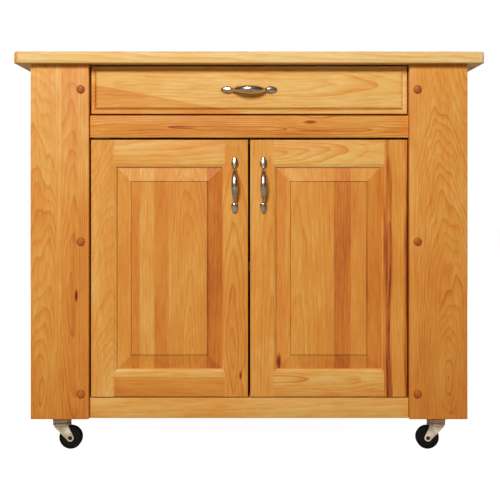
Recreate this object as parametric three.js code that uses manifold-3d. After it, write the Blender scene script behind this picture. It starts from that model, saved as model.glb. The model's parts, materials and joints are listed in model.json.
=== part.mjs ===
// Butcher block kitchen table: an edge-glued slab on a framed cabinet with one wide drawer,
// a pair of raised-panel doors and four swivel casters.
// Millimetres, +Z up, front towards -Y, origin on the floor under the middle of the slab.

import * as THREE from 'three';
import { mergeVertices } from 'three/addons/utils/BufferGeometryUtils.js';
import Module from 'manifold-3d';

const wasm = await Module();
wasm.setup();

// ---- Driving dimensions ---------------------------------------------------------------

const GAP = 0.3; // left between faces that touch

const TABLE = { width: 1022, depth: 635, height: 876 };
const SLAB = { thickness: 25, cornerRadius: 12, edgeRound: 5 };
const POST = { width: 127, thickness: 32, halfSpan: 477, overhang: 20, bottom: 75 };
const BOARD = 19; // thickness of rails, doors, panels and shelves
const BACK_BOARD = 12;
const SIDE_RECESS = 6; // side panel behind the posts' outer edges

const BASE_RAIL_TOP = 119.7;
const MID_RAIL = { bottom: 690.5, top: 739 };
const CASTER_RAIL_HEIGHT = 40;
const STRETCHER_DEPTH = 60;
const SHELF = { bottom: 395, setBack: 25 };

const DRAWER_FRONT = { halfWidth: 347.5, bottom: 742.7, top: 848 };
const DRAWER_BOX = { halfWidth: 337, depth: 500, bottom: 752, top: 822, wall: 12 };
const DRAWER_BOTTOM = { thickness: 6, bottom: 758 };
const DRAWER_EDGE = { lip: 4.5, lipDrop: 6, cove: 8, shoulder: 1.5, shoulderDrop: 1.2 };

const SLIDE = { length: 500, setBack: 3, sheet: 1.2, centre: 787 };

const DOOR = { outerX: 346.8, innerX: 2.4, bottom: 122, top: 685.7 };
const STILE_WIDTH = 57.5;
const RAIL_WIDTH = 61;
const STICKING = { width: 7, drop: 6.5, fillet: 1 };
const GROOVE = { depth: 10, width: 6 };
const TONGUE_DEPTH = 9;
const PANEL = { bevel: 31, front: 8.9, bevelTop: 7.3, back: 5.5, backRebate: 13 };

const PIVOT = { inset: 18, pinRadius: 3, boreRadius: 3.3, boreDepth: 20 };
const CATCH = { halfWidth: 22, depth: 20, height: 18 };

const PULL_HEIGHTS = { drawer: 795.4, door: 586.6 };
const PULL_DOOR_X = 31.5;

const CASTER = { x: 417, y: 242.5, trail: 20, wheelRadius: 25.4, wheelWidth: 22, wheelSides: 32 };
const FORK = { innerGap: 25, sheet: 2, crownRadius: 21, crownBottom: 52, crownTop: 59, axleRadius: 4 };
const STEM = { radius: 5.5, top: 113, boreRadius: 5.9 };

// ---- Places that follow from them -----------------------------------------------------

const POST_FRONT = TABLE.depth / 2 - POST.overhang;
const POST_BACK = POST_FRONT - POST.thickness;
const POST_INNER = POST.halfSpan - POST.width;
const SLAB_BOTTOM = TABLE.height - SLAB.thickness;
const CARCASS_Y = POST_BACK - GAP;
const CARCASS_TOP = SLAB_BOTTOM - GAP;
const FRONT_MID_Y = POST_BACK + BOARD / 2;
const PARTITION_INNER = POST_INNER; // flush with the posts, so that the slides run past them
const BETWEEN_PARTITIONS = PARTITION_INNER - GAP;
const SIDES = [[-1, 'left'], [1, 'right']];
const ENDS = [[-1, 'front'], [1, 'rear']];

// ---- Finishes -------------------------------------------------------------------------

function finish(color, roughness, metalness) {
  return new THREE.MeshStandardMaterial({ color, roughness, metalness });
}

const topWood = finish(0xeac582, 0.4, 0);
const frameWood = finish(0xd99048, 0.4, 0);
const frontWood = finish(0xdb9c58, 0.4, 0);
const panelWood = finish(0xd48a42, 0.4, 0);
const cabinetWood = finish(0xdcbf95, 0.55, 0);
const satinNickel = finish(0xb9b2a2, 0.3, 1);
const zincSteel = finish(0xb4b7ba, 0.4, 1);
const wheelRubber = finish(0x1c1b1a, 0.6, 0);

// ---- Helpers --------------------------------------------------------------------------

function toSolid(geometry) {
  const bare = geometry.clone();
  bare.deleteAttribute('normal');
  bare.deleteAttribute('uv');
  const merged = mergeVertices(bare, 1e-4);
  return new wasm.Manifold(new wasm.Mesh({
    numProp: 3,
    vertProperties: merged.attributes.position.array,
    triVerts: merged.index.array,
  }));
}

function toGeometry(solid) {
  const { vertProperties, triVerts } = solid.getMesh();
  const geometry = new THREE.BufferGeometry();
  geometry.setAttribute('position', new THREE.BufferAttribute(vertProperties, 3));
  geometry.setIndex(new THREE.BufferAttribute(triVerts, 1));
  geometry.computeVertexNormals();
  return geometry;
}

function part(name, geometry, material, position = [0, 0, 0]) {
  const mesh = new THREE.Mesh(geometry, material);
  mesh.name = name;
  mesh.position.set(...position);
  return mesh;
}

// A box between two x, two y and two z values, given in either order.
function boxBetween(x, y, z) {
  const size = [x, y, z].map(([low, high]) => Math.abs(high - low));
  const middle = [x, y, z].map(([low, high]) => (low + high) / 2);
  return new THREE.BoxGeometry(...size).translate(...middle);
}

function board(name, material, x, y, z) {
  return part(name, boxBetween(x, y, z), material);
}

function uprightCylinder(radius, bottom, top, x = 0, y = 0) {
  const cylinder = new THREE.CylinderGeometry(radius, radius, top - bottom, 24);
  return cylinder.rotateX(Math.PI / 2).translate(x, y, (bottom + top) / 2);
}

function outline(points) {
  return new THREE.Shape(points.map(([x, y]) => new THREE.Vector2(x, y)));
}

function extrude(points, depth) {
  return new THREE.ExtrudeGeometry(outline(points), { depth, bevelEnabled: false });
}

function roundedRectangle(halfX, halfY, radius) {
  const shape = new THREE.Shape();
  const cornerX = halfX - radius;
  const cornerY = halfY - radius;
  shape.absarc(cornerX, cornerY, radius, 0, Math.PI / 2);
  shape.absarc(-cornerX, cornerY, radius, Math.PI / 2, Math.PI);
  shape.absarc(-cornerX, -cornerY, radius, Math.PI, Math.PI * 1.5);
  shape.absarc(cornerX, -cornerY, radius, Math.PI * 1.5, Math.PI * 2);
  return shape;
}

// Shapes the four edges of an upright board of the given half sizes, which faces -Y. The
// cutter's section is drawn in (distance in from the edge, y) and runs along every edge.
function shapeEdges(solid, halfX, halfZ, section) {
  let shaped = solid;
  for (const [turn, reach, run] of [[0, halfX, halfZ], [1, halfZ, halfX]]) {
    for (const flip of [0, 2]) {
      const cutter = extrude(section, 2 * run + 2).translate(-reach, 0, -run - 1);
      cutter.rotateY((turn + flip) * Math.PI / 2);
      shaped = shaped.subtract(toSolid(cutter));
    }
  }
  return shaped;
}

// ---- Slab, posts and carcass ----------------------------------------------------------

function slab() {
  const round = SLAB.edgeRound;
  const shape = roundedRectangle(TABLE.width / 2, TABLE.depth / 2, SLAB.cornerRadius);
  const blank = new THREE.ExtrudeGeometry(shape, {
    depth: SLAB.thickness - round,
    bevelThickness: round,
    bevelSize: round,
    bevelOffset: -round,
    bevelSegments: 3,
    curveSegments: 6,
  }).translate(0, 0, SLAB_BOTTOM);
  const x = [-TABLE.width, TABLE.width];
  const belowSlab = boxBetween(x, x, [0, SLAB_BOTTOM]);
  const solid = toSolid(blank).subtract(toSolid(belowSlab));
  return part('butcher_block_top', toGeometry(solid), topWood);
}

function posts() {
  return ENDS.flatMap(([end, endName]) => SIDES.map(([side, sideName]) => board(
    `post_${endName}_${sideName}`,
    frameWood,
    [side * POST_INNER, side * POST.halfSpan],
    [end * POST_BACK, end * POST_FRONT],
    [POST.bottom, CARCASS_TOP],
  )));
}

function casterRail(side, sideName) {
  const inner = PARTITION_INNER + BOARD + GAP;
  const outer = POST.halfSpan - SIDE_RECESS - BOARD - GAP;
  const top = POST.bottom + CASTER_RAIL_HEIGHT;
  let solid = toSolid(boxBetween(
    [side * inner, side * outer],
    [-CARCASS_Y, CARCASS_Y],
    [POST.bottom, top],
  ));
  for (const [end] of ENDS) {
    const bore = uprightCylinder(
      STEM.boreRadius, POST.bottom - 1, top + 1, side * CASTER.x, end * CASTER.y);
    solid = solid.subtract(toSolid(bore));
  }
  return part(`caster_rail_${sideName}`, toGeometry(solid), cabinetWood);
}

function columnSides() {
  const y = [-CARCASS_Y, CARCASS_Y];
  const z = [POST.bottom, CARCASS_TOP];
  const sideOuter = POST.halfSpan - SIDE_RECESS;
  return SIDES.flatMap(([side, sideName]) => [
    board(`side_panel_${sideName}`, frameWood, [side * (sideOuter - BOARD), side * sideOuter], y, z),
    board(`partition_${sideName}`, cabinetWood,
      [side * PARTITION_INNER, side * (PARTITION_INNER + BOARD)], y, z),
    casterRail(side, sideName),
  ]);
}

function crossMembers() {
  const betweenPosts = [-(POST_INNER - GAP), POST_INNER - GAP];
  const betweenSides = [-BETWEEN_PARTITIONS, BETWEEN_PARTITIONS];
  const frontY = [-POST_BACK - BOARD, -POST_BACK];
  const fullY = [-CARCASS_Y, CARCASS_Y];
  const stretcherY = [-CARCASS_Y, -CARCASS_Y + STRETCHER_DEPTH];
  const dividerBottom = MID_RAIL.bottom + 4.5;
  return [
    board('base_rail', frameWood, betweenPosts, frontY, [POST.bottom, BASE_RAIL_TOP]),
    board('mid_rail', frameWood, betweenPosts, frontY, [MID_RAIL.bottom, MID_RAIL.top]),
    board('back_panel', cabinetWood, betweenPosts, [POST_BACK, POST_BACK + BACK_BOARD],
      [POST.bottom, CARCASS_TOP]),
    board('cabinet_floor', cabinetWood, betweenSides, fullY, [BASE_RAIL_TOP - BOARD, BASE_RAIL_TOP]),
    board('shelf', cabinetWood, betweenSides, [-CARCASS_Y + SHELF.setBack, CARCASS_Y],
      [SHELF.bottom, SHELF.bottom + BOARD]),
    board('top_stretcher_front', cabinetWood, betweenSides, stretcherY,
      [CARCASS_TOP - BOARD, CARCASS_TOP]),
    board('divider_stretcher', cabinetWood, betweenSides, stretcherY,
      [dividerBottom, dividerBottom + BOARD]),
    board('magnetic_catch', zincSteel, [-CATCH.halfWidth, CATCH.halfWidth],
      [-CARCASS_Y + 1, -CARCASS_Y + 1 + CATCH.depth],
      [dividerBottom - GAP - CATCH.height, dividerBottom - GAP]),
  ];
}

// ---- Pulls ----------------------------------------------------------------------------

// Half of the bow from its tip to its middle: distance along, stand-off from the face, half
// width and half thickness. Teardrop foot, narrow neck, bead, then the swelling grip.
const PULL_STATIONS = [
  [62.0, 2.4, 0.0, 0.0],
  [61.2, 2.5, 2.6, 1.7],
  [57.0, 2.8, 4.9, 2.4],
  [49.0, 3.1, 6.3, 2.8],
  [43.5, 3.5, 7.4, 3.1],
  [40.5, 4.2, 6.0, 3.0],
  [38.0, 6.3, 2.8, 2.4],
  [35.8, 9.0, 4.0, 3.4],
  [33.6, 11.6, 3.0, 2.7],
  [27.0, 17.4, 4.7, 3.3],
  [17.0, 22.4, 6.2, 3.9],
  [0.0, 25.4, 7.2, 4.5],
];

// The bow lies along X and stands off towards -Y from a mounting face at y = 0.
function pullGeometry() {
  const rising = PULL_STATIONS.map(([along, ...rest]) => [-along, ...rest]);
  const falling = PULL_STATIONS.slice(0, -1).reverse();
  const stations = [...rising, ...falling];
  const last = stations.length - 1;
  const unit = stations.map((_, i) => new THREE.Vector2(i === 0 || i === last ? 0 : 1, i));
  const geometry = new THREE.LatheGeometry(unit, 12);
  const position = geometry.attributes.position;
  for (let i = 0; i < position.count; i += 1) {
    const index = Math.round(position.getY(i));
    const before = stations[Math.max(index - 1, 0)];
    const after = stations[Math.min(index + 1, last)];
    const [along, standOff, halfWidth, halfThickness] = stations[index];
    const run = after[0] - before[0];
    const rise = after[1] - before[1];
    const length = Math.hypot(run, rise);
    const across = position.getZ(i) * halfThickness;
    position.setXYZ(
      i,
      along + across * rise / length,
      Math.min(-standOff + across * run / length, -GAP),
      position.getX(i) * halfWidth,
    );
  }
  return toGeometry(toSolid(geometry));
}

// ---- Drawer ---------------------------------------------------------------------------

// Flat lip round the outside, a hollow rising from it and a small square shoulder.
function drawerEdgeSection(face) {
  const lipY = face + DRAWER_EDGE.lipDrop;
  const coveTop = face + DRAWER_EDGE.shoulderDrop;
  const coveIn = DRAWER_EDGE.lip + DRAWER_EDGE.cove;
  const fieldIn = coveIn + DRAWER_EDGE.shoulder;
  const steps = 5;
  const cove = Array.from({ length: steps + 1 }, (_, i) => {
    const angle = (i / steps) * Math.PI / 2;
    return [
      coveIn - DRAWER_EDGE.cove * (1 - Math.cos(angle)),
      coveTop + (lipY - coveTop) * Math.sin(angle),
    ];
  });
  return [[-1, face - 1], [fieldIn, face - 1], [fieldIn, coveTop], ...cove, [-1, lipY]];
}

function drawerFront() {
  const halfZ = (DRAWER_FRONT.top - DRAWER_FRONT.bottom) / 2;
  const halfX = DRAWER_FRONT.halfWidth;
  const blank = toSolid(new THREE.BoxGeometry(2 * halfX, BOARD, 2 * halfZ));
  const solid = shapeEdges(blank, halfX, halfZ, drawerEdgeSection(-BOARD / 2));
  const centreZ = (DRAWER_FRONT.top + DRAWER_FRONT.bottom) / 2;
  return part('drawer_front', toGeometry(solid), frontWood, [0, -FRONT_MID_Y, centreZ]);
}

function drawerBox() {
  const { halfWidth, depth, bottom, top, wall } = DRAWER_BOX;
  const front = -CARCASS_Y;
  const back = front + depth;
  const inside = halfWidth - wall - GAP;
  const between = [-inside, inside];
  const z = [bottom, top];
  const sides = SIDES.map(([side, sideName]) => board(`drawer_side_${sideName}`, cabinetWood,
    [side * (halfWidth - wall), side * halfWidth], [front, back], z));
  return [
    ...sides,
    board('drawer_box_front', cabinetWood, between, [front, front + wall], z),
    board('drawer_back', cabinetWood, between, [back - wall, back], z),
    board('drawer_bottom', cabinetWood, between,
      [front + wall + GAP, back - wall - GAP],
      [DRAWER_BOTTOM.bottom, DRAWER_BOTTOM.bottom + DRAWER_BOTTOM.thickness]),
  ];
}

// A rolled channel: web at x = 0, flanges reaching to x = reach, of the given height.
function channel(height, reach) {
  const half = height / 2;
  const sheet = SLIDE.sheet;
  const web = Math.sign(reach) * sheet;
  const section = [
    [0, -half], [reach, -half], [reach, -half + sheet], [web, -half + sheet],
    [web, half - sheet], [reach, half - sheet], [reach, half], [0, half],
  ];
  if (reach < 0) section.reverse();
  return extrude(section, SLIDE.length).rotateX(Math.PI / 2);
}

// Three nested channels on each side, from the partition in to the drawer side.
function slideMembers() {
  const cabinetWeb = PARTITION_INNER - GAP;
  const drawerWeb = DRAWER_BOX.halfWidth + GAP;
  const members = [
    ['slide_outer', cabinetWeb, -9.2, 45],
    ['slide_middle', cabinetWeb - 2, -8.2, 40.8],
    ['slide_inner', drawerWeb, 8.2, 33],
  ];
  const backY = -CARCASS_Y + SLIDE.setBack + SLIDE.length;
  return members.map(([name, web, reach, height]) => SIDES.map(([side, sideName]) => part(
    `${name}_${sideName}`,
    channel(height, side * reach),
    zincSteel,
    [side * web, backY, SLIDE.centre],
  )));
}

// ---- Doors ----------------------------------------------------------------------------

// Section of a stile or rail: x in from the outer edge, y through the thickness.
function frameSection(width) {
  const half = BOARD / 2;
  const flat = width - STICKING.width;
  const sight = -half + STICKING.drop;
  const slot = GROOVE.width / 2;
  return [
    [0, -half],
    [flat, -half],
    [flat, -half + STICKING.fillet],
    [flat + STICKING.width * 0.4, -half + STICKING.drop * 0.3],
    [flat + STICKING.width * 0.75, -half + STICKING.drop * 0.62],
    [width, sight],
    [width - GROOVE.depth, -slot],
    [width - GROOVE.depth, slot],
    [width, slot],
    [width, half],
    [0, half],
  ];
}

// A length of frame moulding on the side of a door that the quarter turn names: 0 is the
// left side, 1 the bottom, 2 the right and 3 the top, seen from the front.
function frameMember(width, reach, halfRun, quarter) {
  const member = extrude(frameSection(width), 2 * halfRun).translate(-reach, 0, -halfRun);
  return toSolid(member.rotateY(-quarter * Math.PI / 2));
}

// Every rail end is coped over the stile's moulding and has a stub tenon in its groove.
function doorRail(stiles, halfX, halfZ, quarter) {
  const jointX = halfX - STILE_WIDTH + STICKING.width;
  const tenonX = halfX - STILE_WIDTH + GROOVE.depth - GAP;
  const tenonY = GROOVE.width / 2 - 1.3 * GAP;
  const edge = quarter === 1 ? -halfZ : halfZ;
  const inner = edge - Math.sign(edge) * (RAIL_WIDTH - GROOVE.depth);
  const tenon = boxBetween([-tenonX, tenonX], [-tenonY, tenonY], [edge, inner]);
  let rail = frameMember(RAIL_WIDTH, halfZ, jointX, quarter).add(toSolid(tenon));
  for (const [side, stile] of stiles) {
    for (const offset of [-GAP, 0, GAP]) {
      rail = rail.subtract(stile.translate([-side * GAP, offset, 0]));
    }
  }
  return rail;
}

function raisedPanel(halfX, halfZ) {
  const tongue = GROOVE.width / 2 - GAP;
  const { bevel, front, bevelTop, back, backRebate } = PANEL;
  const thickness = front + back;
  const blank = new THREE.BoxGeometry(2 * halfX, thickness, 2 * halfZ);
  blank.translate(0, (back - front) / 2, 0);
  const bevelSection = [
    [-1, -front - 1], [TONGUE_DEPTH + bevel, -front - 1], [TONGUE_DEPTH + bevel, -bevelTop],
    [TONGUE_DEPTH + 1, -tongue], [-1, -tongue],
  ];
  const rebateSection = [[-1, tongue], [backRebate, tongue], [backRebate, back + 1], [-1, back + 1]];
  const shaped = shapeEdges(toSolid(blank), halfX, halfZ, bevelSection);
  return shapeEdges(shaped, halfX, halfZ, rebateSection);
}

function door(side, sideName) {
  const halfX = (DOOR.outerX - DOOR.innerX) / 2;
  const halfZ = (DOOR.top - DOOR.bottom) / 2;
  const centre = [side * (DOOR.outerX + DOOR.innerX) / 2, -FRONT_MID_Y, (DOOR.top + DOOR.bottom) / 2];
  const stiles = SIDES.map(([edge]) => (
    [edge, frameMember(STILE_WIDTH, halfX, halfZ, edge < 0 ? 0 : 2)]));
  const pieces = stiles.map(([edge, stile]) => {
    if (edge !== side) return ['stile_inner', stile];
    const pinX = side * (halfX - PIVOT.inset);
    const low = uprightCylinder(PIVOT.boreRadius, -halfZ - 1, -halfZ + PIVOT.boreDepth, pinX);
    const high = uprightCylinder(PIVOT.boreRadius, halfZ - PIVOT.boreDepth, halfZ + 1, pinX);
    return ['stile_outer', stile.subtract(toSolid(low)).subtract(toSolid(high))];
  });
  pieces.push(['rail_bottom', doorRail(stiles, halfX, halfZ, 1)]);
  pieces.push(['rail_top', doorRail(stiles, halfX, halfZ, 3)]);
  pieces.push(['panel', raisedPanel(
    halfX - STILE_WIDTH + TONGUE_DEPTH, halfZ - RAIL_WIDTH + TONGUE_DEPTH)]);
  const group = new THREE.Group();
  group.position.set(...centre);
  for (const [piece, solid] of pieces) {
    const material = piece === 'panel' ? panelWood : frontWood;
    group.add(part(`door_${sideName}_${piece}`, toGeometry(solid), material));
  }
  return group;
}

// Pin hinges set in the ends of each outer stile: a plate screwed to the rail, a washer
// under the door's weight at the bottom, and a pin in the stile's bore.
function doorPivots() {
  const x = DOOR.outerX - PIVOT.inset;
  const plate = 1.2;
  const washerRadius = 7;
  const reach = PIVOT.boreDepth - 2;
  const height = DOOR.bottom - BASE_RAIL_TOP;
  return SIDES.flatMap(([side, sideName]) => [['lower', 1], ['upper', -1]].map(([level, up]) => {
    const plateZ = up > 0 ? BASE_RAIL_TOP + GAP : MID_RAIL.bottom - GAP;
    const washer = up > 0 ? height - 2 * GAP : plate;
    const doorEnd = up > 0 ? DOOR.bottom : DOOR.top;
    const plateBox = boxBetween([-24, 12], [-BOARD / 2 + 5, BOARD / 2 - 1], [0, up * plate]);
    if (side < 0) plateBox.rotateZ(Math.PI);
    const pinTop = up * (doorEnd - plateZ) + reach;
    const pieces = [[washerRadius, washer], [PIVOT.pinRadius, pinTop]].map(([radius, tall]) => (
      toSolid(uprightCylinder(radius, Math.min(0, up * tall), Math.max(0, up * tall)))));
    const solid = toSolid(plateBox).add(pieces[0]).add(pieces[1]);
    return part(`pivot_${level}_${sideName}`, toGeometry(solid), zincSteel,
      [side * x, -FRONT_MID_Y, plateZ]);
  }));
}

// ---- Casters --------------------------------------------------------------------------

function lathe(points, segments, phase = 0) {
  const profile = points.map(([radius, height]) => new THREE.Vector2(radius, height));
  return new THREE.LatheGeometry(profile, segments, phase);
}

// Stem, upper race and the pin that holds the fork, turned about Z.
function casterStem() {
  const raceBottom = FORK.crownTop + GAP;
  const raceTop = raceBottom + 8.7;
  const collarTop = POST.bottom - GAP;
  const pinHeadTop = FORK.crownBottom - GAP;
  const profile = [
    [0, pinHeadTop - 2.4], [7, pinHeadTop - 2.4], [7, pinHeadTop], [4, pinHeadTop],
    [4, raceBottom], [FORK.crownRadius, raceBottom], [FORK.crownRadius, raceTop],
    [9, raceTop], [9, collarTop], [STEM.radius, collarTop], [STEM.radius, STEM.top], [0, STEM.top],
  ];
  return toGeometry(toSolid(lathe(profile, 24).rotateX(Math.PI / 2)));
}

function wheelCentreHeight() {
  return CASTER.wheelRadius * Math.cos(Math.PI / CASTER.wheelSides);
}

// Crown with two cheeks that taper down to the axle, which trails towards +X.
function casterFork() {
  const { innerGap, sheet, crownRadius, crownBottom, crownTop, axleRadius } = FORK;
  const axleZ = wheelCentreHeight();
  const tip = 8;
  const pinHole = 4.4;
  const crown = lathe([
    [pinHole, crownBottom], [crownRadius, crownBottom], [crownRadius, crownTop],
    [pinHole, crownTop], [pinHole, crownBottom],
  ], 32).rotateX(Math.PI / 2);
  const cheek = new THREE.Shape();
  const cheekTop = (crownBottom + crownTop) / 2;
  cheek.moveTo(-15.5, cheekTop);
  cheek.lineTo(-15, crownBottom - 3);
  cheek.absarc(CASTER.trail, axleZ, tip, Math.PI * 1.25, Math.PI * 2.05);
  cheek.lineTo(17, crownBottom - 3);
  cheek.lineTo(15.5, cheekTop);
  let fork = toSolid(crown);
  for (const [side] of SIDES) {
    const plate = new THREE.ExtrudeGeometry(cheek, { depth: sheet, bevelEnabled: false, curveSegments: 6 });
    plate.rotateX(Math.PI / 2);
    plate.translate(0, side * (innerGap + sheet) / 2 + sheet / 2, 0);
    fork = fork.add(toSolid(plate));
  }
  const axle = new THREE.CylinderGeometry(axleRadius, axleRadius, innerGap + 2 * sheet + 3, 24);
  axle.translate(CASTER.trail, 0, 0).translate(0, 0, axleZ);
  return toGeometry(fork.add(toSolid(axle)));
}

// Solid wheel with a hub bore, a flat of its rim on the floor, turned about Y.
function casterWheel() {
  const { wheelRadius, wheelWidth, wheelSides } = CASTER;
  const half = wheelWidth / 2;
  const bore = FORK.axleRadius + GAP;
  const crownDrop = 1.5;
  const profile = [
    [bore, -half], [wheelRadius - 3, -half], [wheelRadius, -half + 3 - crownDrop],
    [wheelRadius, half - 3 + crownDrop], [wheelRadius - 3, half], [bore, half], [bore, -half],
  ];
  return toGeometry(toSolid(lathe(profile, wheelSides, Math.PI / wheelSides)));
}

function casters() {
  const [stem, fork, wheel] = [casterStem(), casterFork(), casterWheel()];
  return ENDS.flatMap(([end, endName]) => SIDES.map(([side, sideName]) => {
    const group = new THREE.Group();
    group.position.set(side * CASTER.x, end * CASTER.y, 0);
    if (side > 0) group.rotation.z = Math.PI;
    const suffix = `${endName}_${sideName}`;
    group.add(part(`caster_stem_${suffix}`, stem, satinNickel));
    group.add(part(`caster_fork_${suffix}`, fork, satinNickel));
    group.add(part(`caster_wheel_${suffix}`, wheel, wheelRubber,
      [CASTER.trail, 0, wheelCentreHeight()]));
    return group;
  }));
}

// ---- Assembly -------------------------------------------------------------------------

function pulls() {
  const geometry = pullGeometry();
  const faceY = -POST_BACK - BOARD;
  const drawerPull = part('drawer_pull', geometry, satinNickel, [0, faceY, PULL_HEIGHTS.drawer]);
  const doorPulls = SIDES.map(([side, sideName]) => {
    const pull = part(`door_${sideName}_pull`, geometry, satinNickel,
      [side * PULL_DOOR_X, faceY, PULL_HEIGHTS.door]);
    pull.rotation.y = Math.PI / 2;
    return pull;
  });
  return [drawerPull, ...doorPulls];
}

const group = new THREE.Group();
group.name = 'butcher_block_table';
group.add(
  slab(),
  ...posts(),
  ...columnSides(),
  ...crossMembers(),
  drawerFront(),
  ...drawerBox(),
  ...slideMembers().flat(),
  ...SIDES.map(([side, sideName]) => door(side, sideName)),
  ...doorPivots(),
  ...pulls(),
  ...casters(),
);

export default group;
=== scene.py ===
"""Butcher block kitchen table: the looks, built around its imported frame.

Laid out as an add-on: sizes and colours are properties, each group of pieces has an operator,
and main() calls them in order.
"""

import json
import math
import random
from collections import namedtuple

import bmesh
import bpy
from mathutils import Matrix, Vector

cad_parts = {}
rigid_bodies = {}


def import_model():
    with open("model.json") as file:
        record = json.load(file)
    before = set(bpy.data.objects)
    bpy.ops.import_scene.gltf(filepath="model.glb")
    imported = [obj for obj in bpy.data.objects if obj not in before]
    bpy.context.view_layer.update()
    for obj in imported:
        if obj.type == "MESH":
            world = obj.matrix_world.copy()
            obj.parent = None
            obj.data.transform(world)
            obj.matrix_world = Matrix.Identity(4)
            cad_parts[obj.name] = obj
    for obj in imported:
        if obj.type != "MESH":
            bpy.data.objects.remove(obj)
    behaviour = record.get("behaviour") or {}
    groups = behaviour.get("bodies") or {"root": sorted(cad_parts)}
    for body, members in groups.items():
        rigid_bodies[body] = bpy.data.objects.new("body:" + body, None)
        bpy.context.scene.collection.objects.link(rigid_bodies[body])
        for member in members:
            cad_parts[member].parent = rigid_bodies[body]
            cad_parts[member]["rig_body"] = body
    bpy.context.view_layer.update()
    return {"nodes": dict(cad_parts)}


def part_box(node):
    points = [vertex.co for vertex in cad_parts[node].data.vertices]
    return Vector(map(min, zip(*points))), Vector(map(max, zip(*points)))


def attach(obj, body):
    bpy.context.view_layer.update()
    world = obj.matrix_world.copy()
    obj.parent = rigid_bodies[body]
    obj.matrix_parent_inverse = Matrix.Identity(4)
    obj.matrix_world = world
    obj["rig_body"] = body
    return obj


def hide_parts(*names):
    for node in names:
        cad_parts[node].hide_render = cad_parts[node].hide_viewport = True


bl_info = {
    "name": "Butcher Block Table",
    "version": (1, 0, 0),
    "blender": (4, 5, 0),
    "location": "View3D > Sidebar > Table",
    "description": "Builds a wooden kitchen work table on casters around its packed frame",
    "category": "Object",
}

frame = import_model()

X, Y, Z = 0, 1, 2
MM = 0.001
SIDES = (("left", -1), ("right", 1))
ENDS = (("front", -1), ("rear", 1))
CORNERS = [(f"{end}_{side}", sign, depth) for end, depth in ENDS for side, sign in SIDES]


def srgb(code):
    """Linear colour of a hexadecimal screen colour."""
    screen = [int(code[i:i + 2], 16) / 255 for i in (0, 2, 4)]
    return [c / 12.92 if c <= 0.04045 else ((c + 0.055) / 1.055) ** 2.4 for c in screen]


# ---- Settings ---------------------------------------------------------------------------


def length(name, description, default, smallest=0.0):
    return bpy.props.FloatProperty(
        name=name, description=description, default=default, min=smallest, unit="LENGTH")


def colour(name, description, code):
    return bpy.props.FloatVectorProperty(
        name=name, description=description, default=srgb(code), size=3, min=0.0, max=1.0,
        subtype="COLOR")


class TableSizes(bpy.types.PropertyGroup):
    """Sizes of the parts that the frame leaves open."""

    arris: length("Arris", "Rounding of the boards' long edges", 1.2 * MM)
    slab_round: length("Slab rounding", "Rounding of the slab's top edge", 5 * MM)
    slab_arris: length("Slab arris", "Rounding of the slab's bottom edge", 1.2 * MM)
    slab_corner: length("Slab corner", "Plan radius of the slab's corners", 12 * MM)
    stave: length("Stave", "Width of one stave of the slab", 39.7 * MM, 5 * MM)
    button: length("Button", "Radius of a wooden button", 9.2 * MM)
    button_rise: length("Button rise", "Height of a wooden button's dome", 5.4 * MM)
    screw_head: length("Screw head", "Radius of a screw head", 3.4 * MM)


class TableColours(bpy.types.PropertyGroup):
    """Colours of the finishes, light to dark for the wood."""

    pale: colour("Pale wood", "Lightest sapwood under the lacquer", "f0d69b")
    straw: colour("Straw wood", "Light boards", "e6bb6a")
    honey: colour("Honey wood", "Usual boards", "dc9840")
    amber: colour("Amber wood", "Darker boards", "d07f30")
    russet: colour("Russet wood", "Dark heartwood and shaded grooves", "b55f24")
    umber: colour("Umber wood", "Knots and heart streaks", "6e3016")
    button: colour("Button wood", "Turned wooden buttons", "b8642a")
    nickel: colour("Satin nickel", "Pulls", "e4dcc8")
    nickel_shade: colour("Nickel patina", "Worn nickel in the hollows", "a89e84")
    caster: colour("Caster steel", "Forks and races of the casters", "fff5de")
    caster_shade: colour("Caster patina", "Dull steel in the hollows", "c0b28c")
    blackened: colour("Blackened steel", "Door pivots, catch and axle ends", "54493a")
    zinc: colour("Zinc plate", "Slides, screws, shelf pins and strikes", "b9bcbd")
    tread: colour("Tread", "Wheels", "0c0b0b")
    floor: colour("Floor", "Studio floor", "9c9a97")


def sizes():
    return bpy.context.scene.table_sizes


def colours():
    return bpy.context.scene.table_colours


# ---- Shader building --------------------------------------------------------------------


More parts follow.
